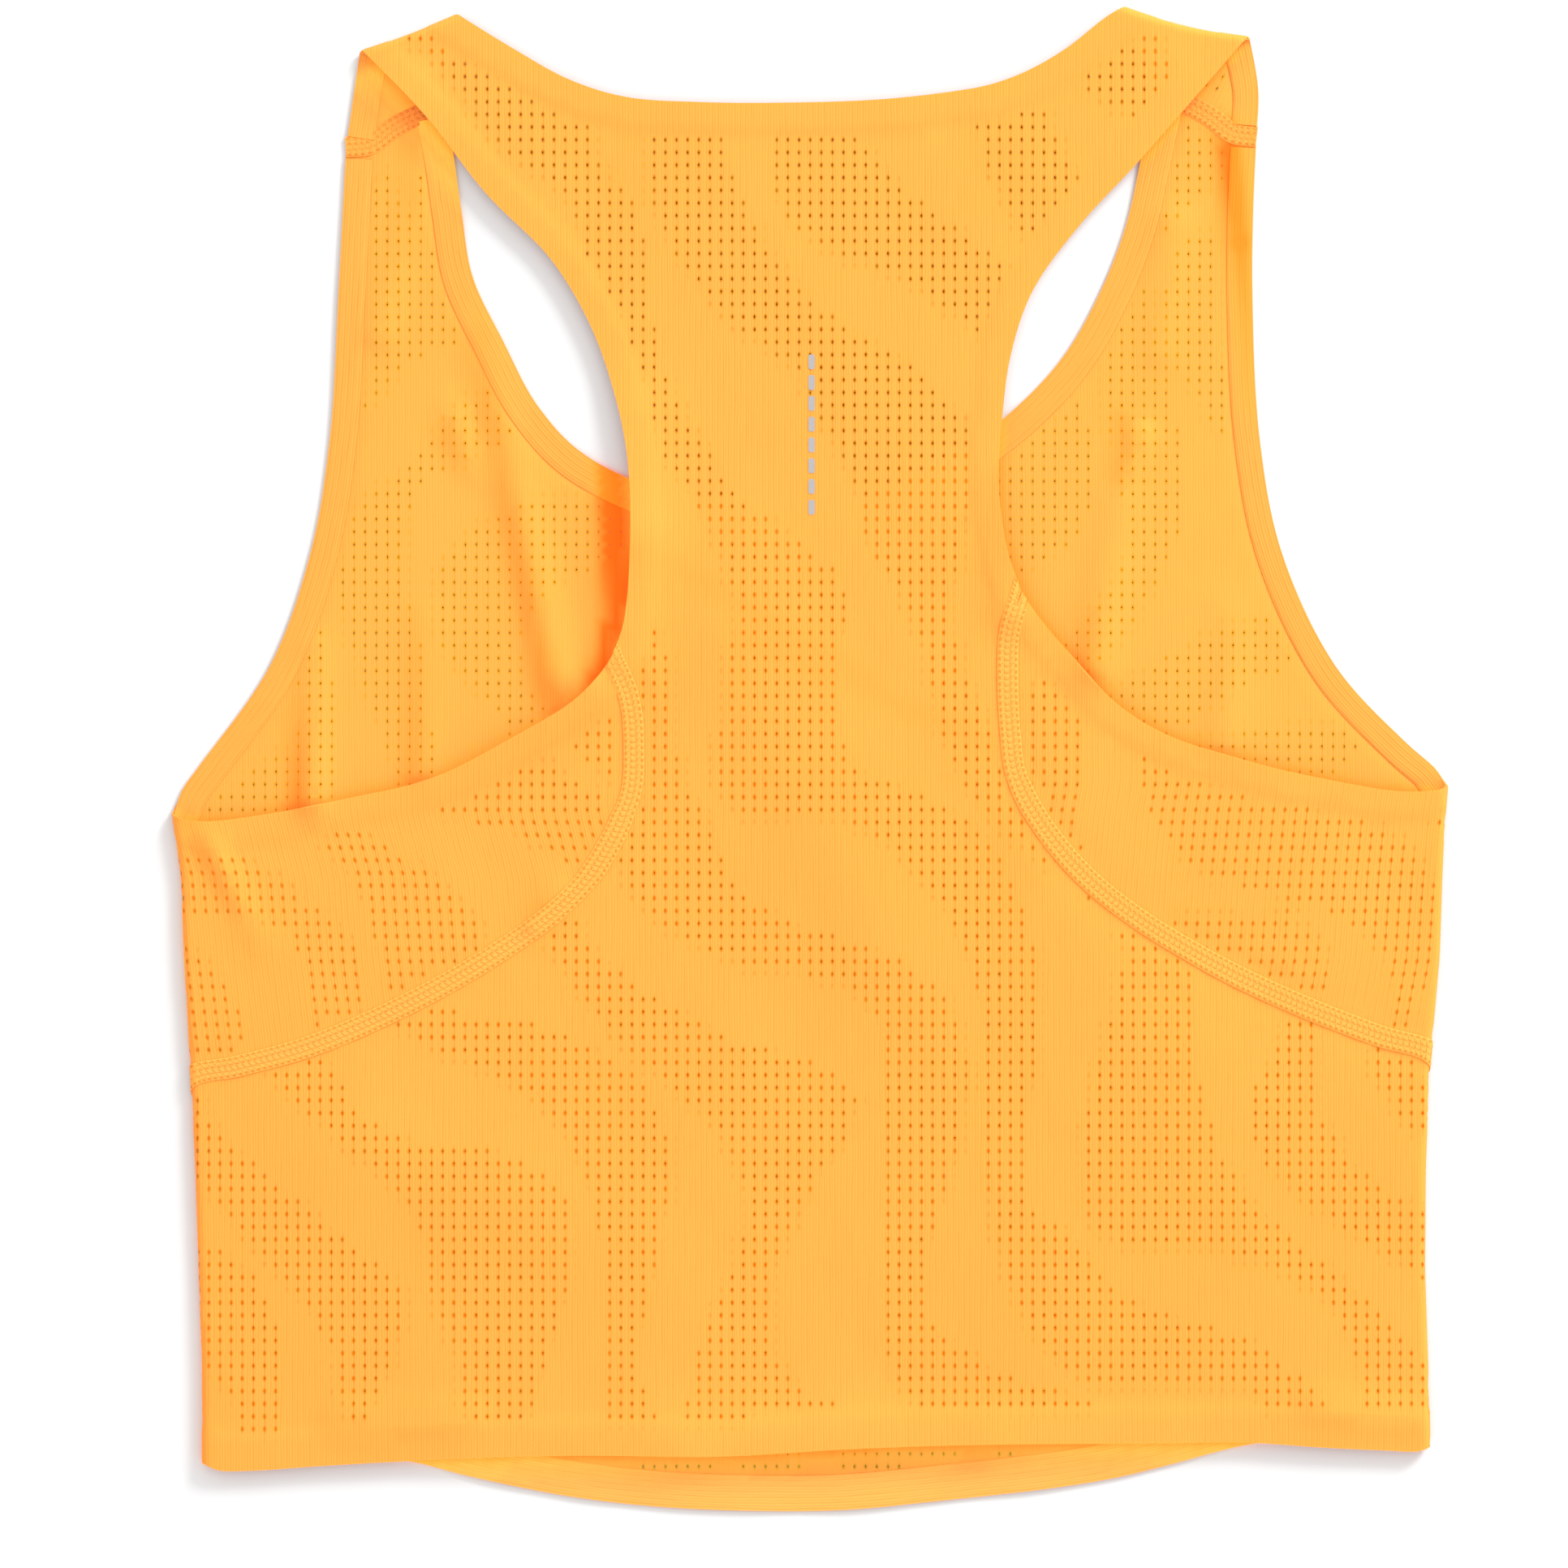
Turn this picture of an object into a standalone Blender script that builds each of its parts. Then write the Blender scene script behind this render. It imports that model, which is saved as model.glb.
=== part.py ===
"""Running crop top with a racer back, laid flat with its back up.

The front panel lies lowest with its inside face up.  Both its sides turn over at the side
folds and lie on the back as underarm wings, up to two curved seams.  The back panel lies on
top.  Its straps turn over at the shoulders and end underneath, where they meet the front
straps.  Below the wings the back turns round the side folds to a side seam underneath.

X runs across the garment, Y from hem to neck and Z up.  The tables are in millimetres on
the plan of the garment as it lies, and everything is built in metres.
"""

import math
from enum import Enum
from typing import Callable, NamedTuple

import bpy
import numpy as np
from mathutils import Vector
from mathutils.geometry import delaunay_2d_cdt

MM = 0.001

# Driving dimensions.
WALL = 1.0 * MM                 # thickness of a cloth panel
SEAM_GAP = 0.3 * MM             # space between two pieces that are sewn or bonded together
LOWER_LEVEL = WALL / 2          # middle of the lower layer, which lies on the floor
TURN_RADIUS = 1.8 * MM          # of the cloth's middle, where it turns over at a fold
UPPER_LEVEL = LOWER_LEVEL + 2 * TURN_RADIUS
SIDE_SEAM_INSET = 8.0 * MM      # from the side fold to the seam underneath
NECK_TURNING_WIDTH = 10.0 * MM
ARMHOLE_TURNING_WIDTH = 9.0 * MM
HEM_TURNING_WIDTH = 12.0 * MM
TURNING_OVERRUN = 2.0 * MM      # of a strip's lines past the panel, before it is cut to shape

# Fineness of the meshes.
GRID_STEP = 12.0 * MM
EDGE_STEP = 9.0 * MM
TURN_STEPS = 6

CLOTH_COLOUR = (1.0, 0.48, 0.075, 1.0)
TURNING_COLOUR = (1.0, 0.52, 0.10, 1.0)


class Layer(Enum):
    """Where a knot lies on the garment as it rests."""

    LOWER = "lower"
    UPPER = "upper"
    TURN = "turn"


class Knot(NamedTuple):
    """A point that an edge passes through, in millimetres on the plan."""

    x: float
    y: float
    layer: Layer = Layer.LOWER


class SideRow(NamedTuple):
    """How far the left and right folds reach at a height on the plan, in millimetres."""

    y: float
    left: float
    right: float


class Crease(NamedTuple):
    """A soft ridge from one point to another, in millimetres; rise is its height."""

    x0: float
    y0: float
    rise0: float
    x1: float
    y1: float
    rise1: float
    width: float


class Turning(NamedTuple):
    """A strip turned in along an edge of the front, between two lines of the opened panel."""

    name: str
    outer: list
    inner: list


def lower(*rows: tuple) -> list:
    """Knots on the lower layer."""
    return [Knot(x, y, Layer.LOWER) for x, y in rows]


def upper(*rows: tuple) -> list:
    """Knots on the upper layer."""
    return [Knot(x, y, Layer.UPPER) for x, y in rows]


SIDE_FOLDS = (
    SideRow(y=-8.0, left=-212.0, right=212.0),
    SideRow(y=-18.0, left=-212.0, right=211.2),
    SideRow(y=-39.0, left=-209.2, right=210.2),
    SideRow(y=-66.0, left=-208.2, right=209.3),
    SideRow(y=-104.0, left=-206.0, right=205.9),
    SideRow(y=-136.0, left=-204.4, right=204.7),
    SideRow(y=-169.0, left=-203.3, right=204.4),
    SideRow(y=-201.0, left=-202.2, right=205.5),
    SideRow(y=-236.0, left=-202.0, right=206.2),
)

# Edges of the front, x and y on the plan.
FRONT_NECK = lower(
    (-121.5, 217.5), (-118.4, 200.5), (-115.7, 181.5), (-112.2, 160.8), (-102.0, 139.0),
    (-90.5, 117.6), (-75.0, 101.4), (-45.0, 88.0), (-13.0, 83.0), (15.0, 86.5), (41.0, 97.3),
    (65.1, 114.1), (84.0, 133.8), (96.4, 155.4), (104.8, 177.0), (109.8, 199.0), (114.5, 221.5),
)
LEFT_SHOULDER = lower(
    (-154.4, 203.5), (-146.0, 204.5), (-138.8, 209.8), (-131.0, 213.8), (-121.5, 217.5),
)
RIGHT_SHOULDER = lower(
    (114.5, 221.5), (125.6, 217.8), (133.7, 213.2), (140.4, 208.2), (148.5, 206.9),
)
RIGHT_STRAP_SIDE = lower((149.2, 222.0))    # of the back's outer edge beneath the shoulder fold
LEFT_ARMHOLE_FRONT = lower(
    (-154.4, 203.5), (-156.9, 155.4), (-159.8, 106.8), (-166.1, 69.0), (-179.6, 31.2),
    (-202.5, -1.2), (-208.5, -9.5),
)
RIGHT_ARMHOLE_FRONT = lower(
    (148.5, 206.9), (147.4, 180.0), (147.2, 155.4), (149.6, 106.8), (156.9, 69.0), (174.7, 31.2),
    (198.0, 5.8), (208.0, -3.0),
)
FRONT_HEM = lower(
    (-155.0, -232.2), (-133.4, -233.6), (-113.7, -238.5), (-80.5, -245.2), (-49.4, -248.8),
    (-18.4, -250.1), (11.3, -249.8), (41.0, -247.0), (81.5, -242.4), (102.0, -239.0),
    (119.3, -234.8), (146.1, -228.0), (170.0, -226.3),
)

# Edges of the wings and the back, x and y on the plan.
LEFT_WING_TOP = [Knot(-212.0, -18.0, Layer.TURN)] + upper(
    (-204.0, -20.4), (-178.2, -17.7), (-153.4, -12.8), (-125.6, -6.1), (-97.5, 8.2),
    (-79.1, 19.3), (-69.7, 28.8), (-65.9, 34.4),
)
RIGHT_WING_TOP = [Knot(212.0, -8.8, Layer.TURN)] + upper(
    (198.2, -10.6), (170.6, -6.3), (147.2, -0.9), (118.8, 8.2), (101.5, 19.0),
    (85.1, 36.6), (75.1, 48.7), (70.2, 56.0),
)
LEFT_BACK_SEAM = upper(
    (-65.9, 34.4), (-60.2, 20.5), (-58.6, 4.0), (-60.2, -13.4), (-70.2, -34.2),
    (-84.2, -50.1), (-107.5, -66.6), (-134.5, -81.7), (-165.0, -95.0), (-190.0, -102.0),
) + [Knot(-206.0, -106.0, Layer.TURN)]
RIGHT_BACK_SEAM = upper(
    (70.2, 56.0), (66.2, 42.0), (65.6, 28.0), (66.4, 10.0), (68.6, -5.5), (76.7, -21.2),
    (90.7, -38.2), (108.8, -52.8), (136.4, -69.3), (162.8, -81.7), (189.3, -92.0),
) + [Knot(206.0, -98.0, Layer.TURN)]
LEFT_ARMHOLE_BACK = upper(
    (-149.0, 235.6), (-127.7, 213.4), (-107.7, 187.8), (-86.4, 166.2), (-73.4, 144.6),
    (-65.6, 123.0), (-61.0, 101.4), (-59.9, 74.4), (-62.1, 45.5), (-65.9, 34.4),
)
RIGHT_ARMHOLE_BACK = upper(
    (145.6, 240.2), (109.6, 198.9), (89.4, 177.0), (74.0, 155.4), (66.7, 133.8),
    (64.0, 113.3), (62.7, 91.7), (65.3, 70.9), (70.2, 56.0),
)
BACK_NECK = upper(
    (-117.2, 247.7), (-98.8, 236.4), (-80.0, 226.0), (-61.6, 220.3), (-37.3, 218.5),
    (-8.0, 218.3), (23.5, 219.4), (47.8, 222.1), (60.0, 224.4), (72.1, 228.9), (85.1, 236.4),
    (98.6, 247.0), (104.2, 250.2),
)
BACK_HEM = [Knot(-202.0, -234.0, Layer.TURN)] + upper(
    (-197.0, -236.4), (-186.0, -236.6), (-163.4, -235.1), (-133.4, -233.4), (-80.5, -231.6),
    (-28.9, -231.8), (12.4, -229.4), (53.7, -228.0), (119.3, -227.5), (146.1, -227.3),
    (169.0, -228.8), (190.0, -229.8), (202.5, -230.1),
) + [Knot(206.0, -228.6, Layer.TURN)]
SIDE_SEAM_KNEES = (-14.0, -30.0)    # below the turn of the back seam, along Y
LEFT_HEM_HEIGHT = -234.5            # of the side seam's lower end
RIGHT_HEM_HEIGHT = -228.6

# The soft folds.  Those of the lower layer lift the upper layer with them.
LOWER_CREASES = (
    Crease(x0=-134.0, y0=32.0, rise0=2.4, x1=-130.0, y1=-2.0, rise1=1.6, width=7.0),
    Crease(x0=-138.0, y0=150.0, rise0=1.6, x1=-131.0, y1=88.0, rise1=2.2, width=9.0),
    Crease(x0=-104.0, y0=84.0, rise0=2.0, x1=-96.0, y1=38.0, rise1=1.0, width=8.0),
    Crease(x0=-172.0, y0=14.0, rise0=1.4, x1=-164.0, y1=-8.0, rise1=0.8, width=6.0),
    Crease(x0=103.0, y0=112.0, rise0=1.8, x1=93.0, y1=48.0, rise1=2.4, width=8.0),
    Crease(x0=121.0, y0=178.0, rise0=1.6, x1=116.0, y1=132.0, rise1=1.0, width=7.0),
    Crease(x0=138.0, y0=86.0, rise0=1.0, x1=128.0, y1=24.0, rise1=1.8, width=9.0),
)
UPPER_CREASES = (
    Crease(x0=-62.0, y0=112.0, rise0=2.0, x1=-60.0, y1=74.0, rise1=5.2, width=13.0),
    Crease(x0=-60.0, y0=74.0, rise0=5.2, x1=-64.0, y1=36.0, rise1=3.4, width=13.0),
    Crease(x0=-72.0, y0=24.0, rise0=3.0, x1=-122.0, y1=-6.0, rise1=0.8, width=10.0),
    Crease(x0=-138.0, y0=224.0, rise0=1.2, x1=-124.0, y1=208.0, rise1=0.6, width=8.0),
    Crease(x0=-110.0, y0=-233.0, rise0=0.5, x1=-40.0, y1=-231.0, rise1=3.6, width=16.0),
    Crease(x0=-40.0, y0=-231.0, rise0=3.6, x1=60.0, y1=-228.0, rise1=3.8, width=16.0),
    Crease(x0=60.0, y0=-228.0, rise0=3.8, x1=128.0, y1=-228.0, rise1=0.8, width=15.0),
    Crease(x0=66.0, y0=92.0, rise0=1.0, x1=67.0, y1=50.0, rise1=2.2, width=8.0),
    Crease(x0=-204.0, y0=-29.0, rise0=1.2, x1=-194.0, y1=-52.0, rise1=1.4, width=4.5),
    Crease(x0=-156.0, y0=-219.0, rise0=1.0, x1=-112.0, y1=-219.0, rise1=1.2, width=6.0),
    Crease(x0=168.0, y0=-215.0, rise0=1.0, x1=200.0, y1=-219.0, rise1=1.4, width=6.0),
    Crease(x0=-30.0, y0=60.0, rise0=0.4, x1=26.0, y1=-60.0, rise1=1.4, width=26.0),
    Crease(x0=120.0, y0=-100.0, rise0=1.6, x1=60.0, y1=-190.0, rise1=0.6, width=24.0),
    Crease(x0=-150.0, y0=-130.0, rise0=1.5, x1=-70.0, y1=-160.0, rise1=0.7, width=22.0),
)


def ridge_height(creases: tuple, x: float, y: float) -> float:
    """Height of the ridges at a point of the plan; where some meet, the highest leads."""
    total = 0.0
    for crease in creases:
        run_x, run_y = crease.x1 - crease.x0, crease.y1 - crease.y0
        from_x, from_y = x / MM - crease.x0, y / MM - crease.y0
        along = (from_x * run_x + from_y * run_y) / (run_x * run_x + run_y * run_y)
        along = min(max(along, 0.0), 1.0)
        away = math.hypot(from_x - run_x * along, from_y - run_y * along) / crease.width
        rise = crease.rise0 + (crease.rise1 - crease.rise0) * along
        total += (rise * math.exp(-away * away)) ** 4
    return total ** 0.25 * MM


def lower_height(x: float, y: float) -> float:
    """Height of the middle of the lower layer."""
    return LOWER_LEVEL + ridge_height(LOWER_CREASES, x, y)


def upper_height(x: float, y: float) -> float:
    """Height of the middle of the upper layer."""
    return UPPER_LEVEL + ridge_height(LOWER_CREASES + UPPER_CREASES, x, y)


class SideFold:
    """The fold at one side, with side -1 on the left and +1 on the right.

    A distance round the fold is zero where the lower layer ends, grows through the turn to
    the upper layer, and is negative on the lower layer.
    """

    def __init__(self, side: int) -> None:
        self.side = side
        self.rows_y = [row.y * MM for row in reversed(SIDE_FOLDS)]
        reach = [row.left if side < 0 else row.right for row in reversed(SIDE_FOLDS)]
        self.rows_x = [x * MM - side * (TURN_RADIUS + WALL / 2) for x in reach]

    def line(self, y: float) -> float:
        """X of the line where the flat layers end."""
        return float(np.interp(y, self.rows_y, self.rows_x))

    def round_distance(self, knot: Knot) -> float:
        """Distance round the fold of a knot on the plan."""
        if knot.layer is Layer.TURN:
            return math.pi * TURN_RADIUS / 2
        inwards = self.side * (self.line(knot.y * MM) - knot.x * MM)
        return inwards + math.pi * TURN_RADIUS if knot.layer is Layer.UPPER else -inwards

    def place(self, distance: float, y: float) -> tuple:
        """Point of the cloth's middle at a distance round the fold."""
        x = self.line(y)
        if distance <= 0.0:
            x += self.side * distance
            return (x, y, lower_height(x, y))
        bottom = lower_height(x, y)
        half_height = (upper_height(x, y) - bottom) / 2
        angle = distance / TURN_RADIUS
        if angle < math.pi:
            outwards = self.side * TURN_RADIUS * math.sin(angle)
            return (x + outwards, y, bottom + half_height * (1 - math.cos(angle)))
        x -= self.side * (distance - math.pi * TURN_RADIUS)
        return (x, y, upper_height(x, y))


class StrapFold:
    """A fold over a shoulder, whose outer line sags a little between its two ends."""

    def __init__(self, start: Knot, end: Knot, sag: float) -> None:
        self.run = Vector((end.x - start.x, end.y - start.y)) * MM
        self.outwards = Vector((-self.run.y, self.run.x)).normalized()
        self.sag = sag
        reach = TURN_RADIUS + WALL / 2
        self.origin = Vector((start.x, start.y)) * MM - self.outwards * reach

    def line_drop(self, share: float) -> float:
        """How far the fold's line sags at a share of the way along it."""
        share = min(max(share, 0.0), 1.0)
        return 4 * self.sag * share * (1 - share)

    def line_point(self, share: float) -> Vector:
        """Point of the fold's line at a share of the way along it."""
        return self.origin + self.run * share - self.outwards * self.line_drop(share)

    def beyond(self, x: float, y: float) -> float:
        """How far a point of the opened strap lies past the fold's line."""
        point = Vector((x, y)) - self.origin
        share = point.dot(self.run) / self.run.length_squared
        return point.dot(self.outwards) + self.line_drop(share)

    def open_out(self, knot: Knot) -> tuple:
        """Place on the opened panel of a knot that lies underneath."""
        point = Vector((knot.x, knot.y)) * MM
        shift = math.pi * TURN_RADIUS - 2 * self.beyond(point.x, point.y)
        return tuple(point + self.outwards * shift)

    def place(self, x: float, y: float) -> tuple:
        """Point of the cloth's middle for a point past the fold's line."""
        past = self.beyond(x, y)
        foot = Vector((x, y)) - self.outwards * past
        top = upper_height(foot.x, foot.y)
        half_height = (top - lower_height(foot.x, foot.y)) / 2
        angle = past / TURN_RADIUS
        if angle < math.pi:
            spot = foot + self.outwards * TURN_RADIUS * math.sin(angle)
            return (spot.x, spot.y, top - half_height * (1 - math.cos(angle)))
        spot = foot - self.outwards * (past - math.pi * TURN_RADIUS)
        return (spot.x, spot.y, lower_height(spot.x, spot.y))


LEFT_FOLD = SideFold(side=-1)
RIGHT_FOLD = SideFold(side=1)
LEFT_STRAP_FOLD = StrapFold(LEFT_ARMHOLE_BACK[0], BACK_NECK[0], sag=0.5 * MM)
RIGHT_STRAP_FOLD = StrapFold(BACK_NECK[-1], RIGHT_ARMHOLE_BACK[0], sag=1.4 * MM)


def smooth_through(points: list, step: float = EDGE_STEP) -> list:
    """Points of a centripetal Catmull-Rom curve that passes through the given ones."""
    knots = [np.array(point, dtype=float) for point in points]
    padded = [2 * knots[0] - knots[1]] + knots + [2 * knots[-1] - knots[-2]]
    curve = []
    for p0, p1, p2, p3 in zip(padded, padded[1:], padded[2:], padded[3:]):
        t1 = np.linalg.norm(p1 - p0) ** 0.5
        t2 = t1 + np.linalg.norm(p2 - p1) ** 0.5
        t3 = t2 + np.linalg.norm(p3 - p2) ** 0.5
        count = max(1, round(float(np.linalg.norm(p2 - p1)) / step))
        for index in range(count):
            t = t1 + (t2 - t1) * index / count
            a1 = p0 + (p1 - p0) * t / t1
            a2 = p1 + (p2 - p1) * (t - t1) / (t2 - t1)
            a3 = p2 + (p3 - p2) * (t - t2) / (t3 - t2)
            b1 = a1 + (a2 - a1) * t / t2
            b2 = a2 + (a3 - a2) * (t - t1) / (t3 - t1)
            curve.append(tuple(b1 + (b2 - b1) * (t - t1) / (t2 - t1)))
    curve.append(tuple(knots[-1]))
    return curve


def join(*edges: list) -> list:
    """One closed loop from edges that follow each other end to end."""
    loop = []
    for edge in edges:
        loop.extend(edge[:-1])
    return loop


def inset(loop: list, distance: float) -> list:
    """The closed loop moved inwards, whichever way round it runs."""
    points = [Vector(point) for point in loop]
    area = sum(a.x * b.y - b.x * a.y for a, b in zip(points, points[1:] + points[:1]))
    turn = 1.0 if area > 0 else -1.0
    moved = []
    for before, here, after in zip(points[-1:] + points[:-1], points, points[1:] + points[:1]):
        way_in = (here - before).normalized()
        way_out = (after - here).normalized()
        normal = Vector((-way_in.y - way_out.y, way_in.x + way_out.x)).normalized() * turn
        miter = max(0.5, normal.dot(Vector((-way_out.y, way_out.x)) * turn))
        moved.append(tuple(here + normal * (distance / miter)))
    return moved


def back_seam_rounds(fold: SideFold, knots: list, hem_height: float) -> list:
    """The back seam and the side seam below it, as distances round the fold and heights."""
    rows = [(fold.round_distance(knot), knot.y * MM) for knot in knots]
    turn_height = knots[-1].y * MM
    rows.append((-0.7 * SIDE_SEAM_INSET, turn_height + SIDE_SEAM_KNEES[0] * MM))
    rows.append((-SIDE_SEAM_INSET, turn_height + SIDE_SEAM_KNEES[1] * MM))
    rows.append((-SIDE_SEAM_INSET, hem_height * MM))
    return smooth_through(rows)


def front_flat(fold: SideFold, distance: float, y: float) -> tuple:
    """Place on the opened front of a point given round a fold."""
    return (fold.line(y) + fold.side * distance, y)


def back_flat(fold: SideFold, distance: float, y: float) -> tuple:
    """Place on the opened back of a point given round a fold."""
    return (fold.line(y) - fold.side * (distance - math.pi * TURN_RADIUS), y)


def place_front(x: float, y: float) -> tuple:
    """Point of the cloth's middle for a place on the opened front."""
    if x < LEFT_FOLD.line(y):
        return LEFT_FOLD.place(LEFT_FOLD.line(y) - x, y)
    if x > RIGHT_FOLD.line(y):
        return RIGHT_FOLD.place(x - RIGHT_FOLD.line(y), y)
    return (x, y, lower_height(x, y))


def place_back(x: float, y: float) -> tuple:
    """Point of the cloth's middle for a place on the opened back."""
    strap = LEFT_STRAP_FOLD if x < 0 else RIGHT_STRAP_FOLD
    if strap.beyond(x, y) > 0:
        return strap.place(x, y)
    fold = LEFT_FOLD if x < 0 else RIGHT_FOLD
    past = fold.side * (x - fold.line(y))
    if past > 0 and y < 0:
        return fold.place(math.pi * TURN_RADIUS - past, y)
    return (x, y, upper_height(x, y))


def front_edge(fold: SideFold, knots: list) -> list:
    """A smooth edge of the opened front through knots on any layer near one fold."""
    return smooth_through([front_flat(fold, fold.round_distance(k), k.y * MM) for k in knots])


def plan_edge(knots: list) -> list:
    """A smooth edge through knots as they lie on the plan."""
    return smooth_through([(knot.x * MM, knot.y * MM) for knot in knots])


def strap_edge(fold: StrapFold, knots: list) -> list:
    """A smooth edge of the opened back through knots that lie under a shoulder fold."""
    return smooth_through([fold.open_out(knot) for knot in knots])


LEFT_SEAM = back_seam_rounds(LEFT_FOLD, LEFT_BACK_SEAM, LEFT_HEM_HEIGHT)
RIGHT_SEAM = back_seam_rounds(RIGHT_FOLD, RIGHT_BACK_SEAM, RIGHT_HEM_HEIGHT)


def front_hem() -> list:
    """The front's hem from the left side seam to the right one."""
    left_end = front_flat(LEFT_FOLD, *LEFT_SEAM[-1])
    right_end = front_flat(RIGHT_FOLD, *RIGHT_SEAM[-1])
    middle = [(knot.x * MM, knot.y * MM) for knot in FRONT_HEM]
    return smooth_through([left_end] + middle + [right_end])


def front_outline() -> list:
    """Edge of the opened front, from the neck round by the left."""
    left_seam = [front_flat(LEFT_FOLD, *row) for row in LEFT_SEAM]
    right_seam = [front_flat(RIGHT_FOLD, *row) for row in RIGHT_SEAM]
    return join(
        plan_edge(FRONT_NECK)[::-1],
        plan_edge(LEFT_SHOULDER)[::-1],
        front_edge(LEFT_FOLD, LEFT_ARMHOLE_FRONT + LEFT_WING_TOP),
        left_seam,
        front_hem(),
        right_seam[::-1],
        front_edge(RIGHT_FOLD, RIGHT_ARMHOLE_FRONT + RIGHT_WING_TOP)[::-1],
        plan_edge(RIGHT_SHOULDER)[::-1],
    )


def back_outline() -> list:
    """Edge of the opened back, from the neck round by the left."""
    left_seam = [back_flat(LEFT_FOLD, *row) for row in LEFT_SEAM]
    right_seam = [back_flat(RIGHT_FOLD, *row) for row in RIGHT_SEAM]
    hem = [left_seam[-1]]
    for knot in BACK_HEM:
        fold = LEFT_FOLD if knot.x < 0 else RIGHT_FOLD
        hem.append(back_flat(fold, fold.round_distance(knot), knot.y * MM))
    hem.append(right_seam[-1])
    neck = plan_edge(BACK_NECK)
    left_armhole = plan_edge(LEFT_ARMHOLE_BACK)
    right_armhole = plan_edge(RIGHT_ARMHOLE_BACK)
    left_end = strap_edge(LEFT_STRAP_FOLD, LEFT_SHOULDER)
    right_end = strap_edge(RIGHT_STRAP_FOLD, RIGHT_SHOULDER)
    right_side = [RIGHT_STRAP_FOLD.open_out(knot) for knot in RIGHT_STRAP_SIDE]
    return join(
        neck[::-1],
        smooth_through([neck[0], left_end[-1]]),
        left_end[::-1],
        smooth_through([left_end[0], left_armhole[0]]),
        left_armhole,
        left_seam,
        smooth_through(hem),
        right_seam[::-1],
        right_armhole[::-1],
        smooth_through([right_armhole[0]] + right_side + [right_end[-1]]),
        right_end[::-1],
        smooth_through([right_end[0], neck[-1]]),
    )


def turn_levels() -> list:
    """Distances from the start of a turn to each of its steps."""
    return [math.pi * TURN_RADIUS * step / TURN_STEPS for step in range(TURN_STEPS + 1)]


def side_guides(flat: Callable, low: float, high: float) -> list:
    """Lines along both side folds, at each step of the turn, on an opened panel."""
    heights = np.arange(low, high, GRID_STEP)
    guides = []
    for fold in (LEFT_FOLD, RIGHT_FOLD):
        for level in turn_levels():
            guides.append([flat(fold, level, float(y)) for y in heights])
    return guides


def strap_guides() -> list:
    """Lines along both shoulder folds, at each step of the turn, on the opened back."""
    guides = []
    for fold in (LEFT_STRAP_FOLD, RIGHT_STRAP_FOLD):
        for level in turn_levels():
            shares = np.linspace(-0.6, 1.6, 12)
            line = [tuple(fold.line_point(share) + fold.outwards * level) for share in shares]
            guides.append(line)
    return guides


def near(point: tuple, others: np.ndarray, reach: float) -> bool:
    """Whether a point lies within a reach of any of the others."""
    return bool((np.hypot(others[:, 0] - point[0], others[:, 1] - point[1]) < reach).any())


def triangulate(outline: list, guides: list) -> tuple:
    """Points and triangles of the area inside an outline, with edges along the guides."""
    guide_points = [point for line in guides for point in line]
    taken = np.array(outline + guide_points)
    low = taken.min(axis=0)
    high = np.array(outline).max(axis=0)
    grid = [
        (float(x), float(y))
        for x in np.arange(low[0], high[0], GRID_STEP)
        for y in np.arange(low[1], high[1], GRID_STEP)
        if not near((x, y), taken, 0.55 * GRID_STEP)
    ]
    count = len(outline)
    edges = [(index, (index + 1) % count) for index in range(count)]
    start = count
    for line in guides:
        edges += [(start + index, start + index + 1) for index in range(len(line) - 1)]
        start += len(line)
    spots = [Vector(point) for point in outline + guide_points + grid]
    points, _, faces, *_ = delaunay_2d_cdt(spots, edges, [], 1, 1e-6)
    used = sorted({index for face in faces for index in face})
    order = {index: place for place, index in enumerate(used)}
    flat = [tuple(points[index]) for index in used]
    return flat, [[order[index] for index in face] for face in faces]


def cloth_material(name: str, colour: tuple) -> bpy.types.Material:
    """Plain cloth in one colour."""
    material = bpy.data.materials.new(name)
    material.use_nodes = True
    shader = material.node_tree.nodes["Principled BSDF"]
    shader.inputs["Base Color"].default_value = colour
    shader.inputs["Roughness"].default_value = 0.85
    shader.inputs["Metallic"].default_value = 0.0
    return material


def cloth_object(name: str, points: list, faces: list, colour: tuple) -> bpy.types.Object:
    """A cloth piece whose wall lies half on each side of the given surface."""
    mesh = bpy.data.meshes.new(name)
    mesh.from_pydata(points, [], faces)
    mesh.validate()
    mesh.shade_smooth()
    piece = bpy.data.objects.new(name, mesh)
    bpy.context.scene.collection.objects.link(piece)
    piece.data.materials.append(cloth_material(name + "_cloth", colour))
    wall = piece.modifiers.new("wall", "SOLIDIFY")
    wall.thickness = WALL
    wall.offset = 0.0
    wall.use_even_offset = True
    return piece


def build_panel(name: str, outline: list, guides: list, place: Callable) -> tuple:
    """A panel from the outline of its opened shape and the rule that lays it down.

    Gives back the opened panel's points, its faces and its laid points.
    """
    flat, faces = triangulate(outline, guides)
    points = [place(x, y) for x, y in flat]
    cloth_object(name, points, faces, CLOTH_COLOUR)
    return flat, faces, points


def beside(edge: list, distance: float) -> list:
    """An open line moved to its left by a distance."""
    moved = []
    for index, here in enumerate(edge):
        before = Vector(edge[max(index - 1, 0)])
        after = Vector(edge[min(index + 1, len(edge) - 1)])
        run = (after - before).normalized()
        moved.append(tuple(Vector(here) + Vector((-run.y, run.x)) * distance))
    return moved


def lengthen(edge: list, start: float, end: float) -> list:
    """The line drawn out straight at its two ends."""
    first, second = Vector(edge[0]), Vector(edge[1])
    last, before_last = Vector(edge[-1]), Vector(edge[-2])
    before = first + (first - second).normalized() * start
    after = last + (last - before_last).normalized() * end
    return [tuple(before)] + edge[1:-1] + [tuple(after)]


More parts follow.
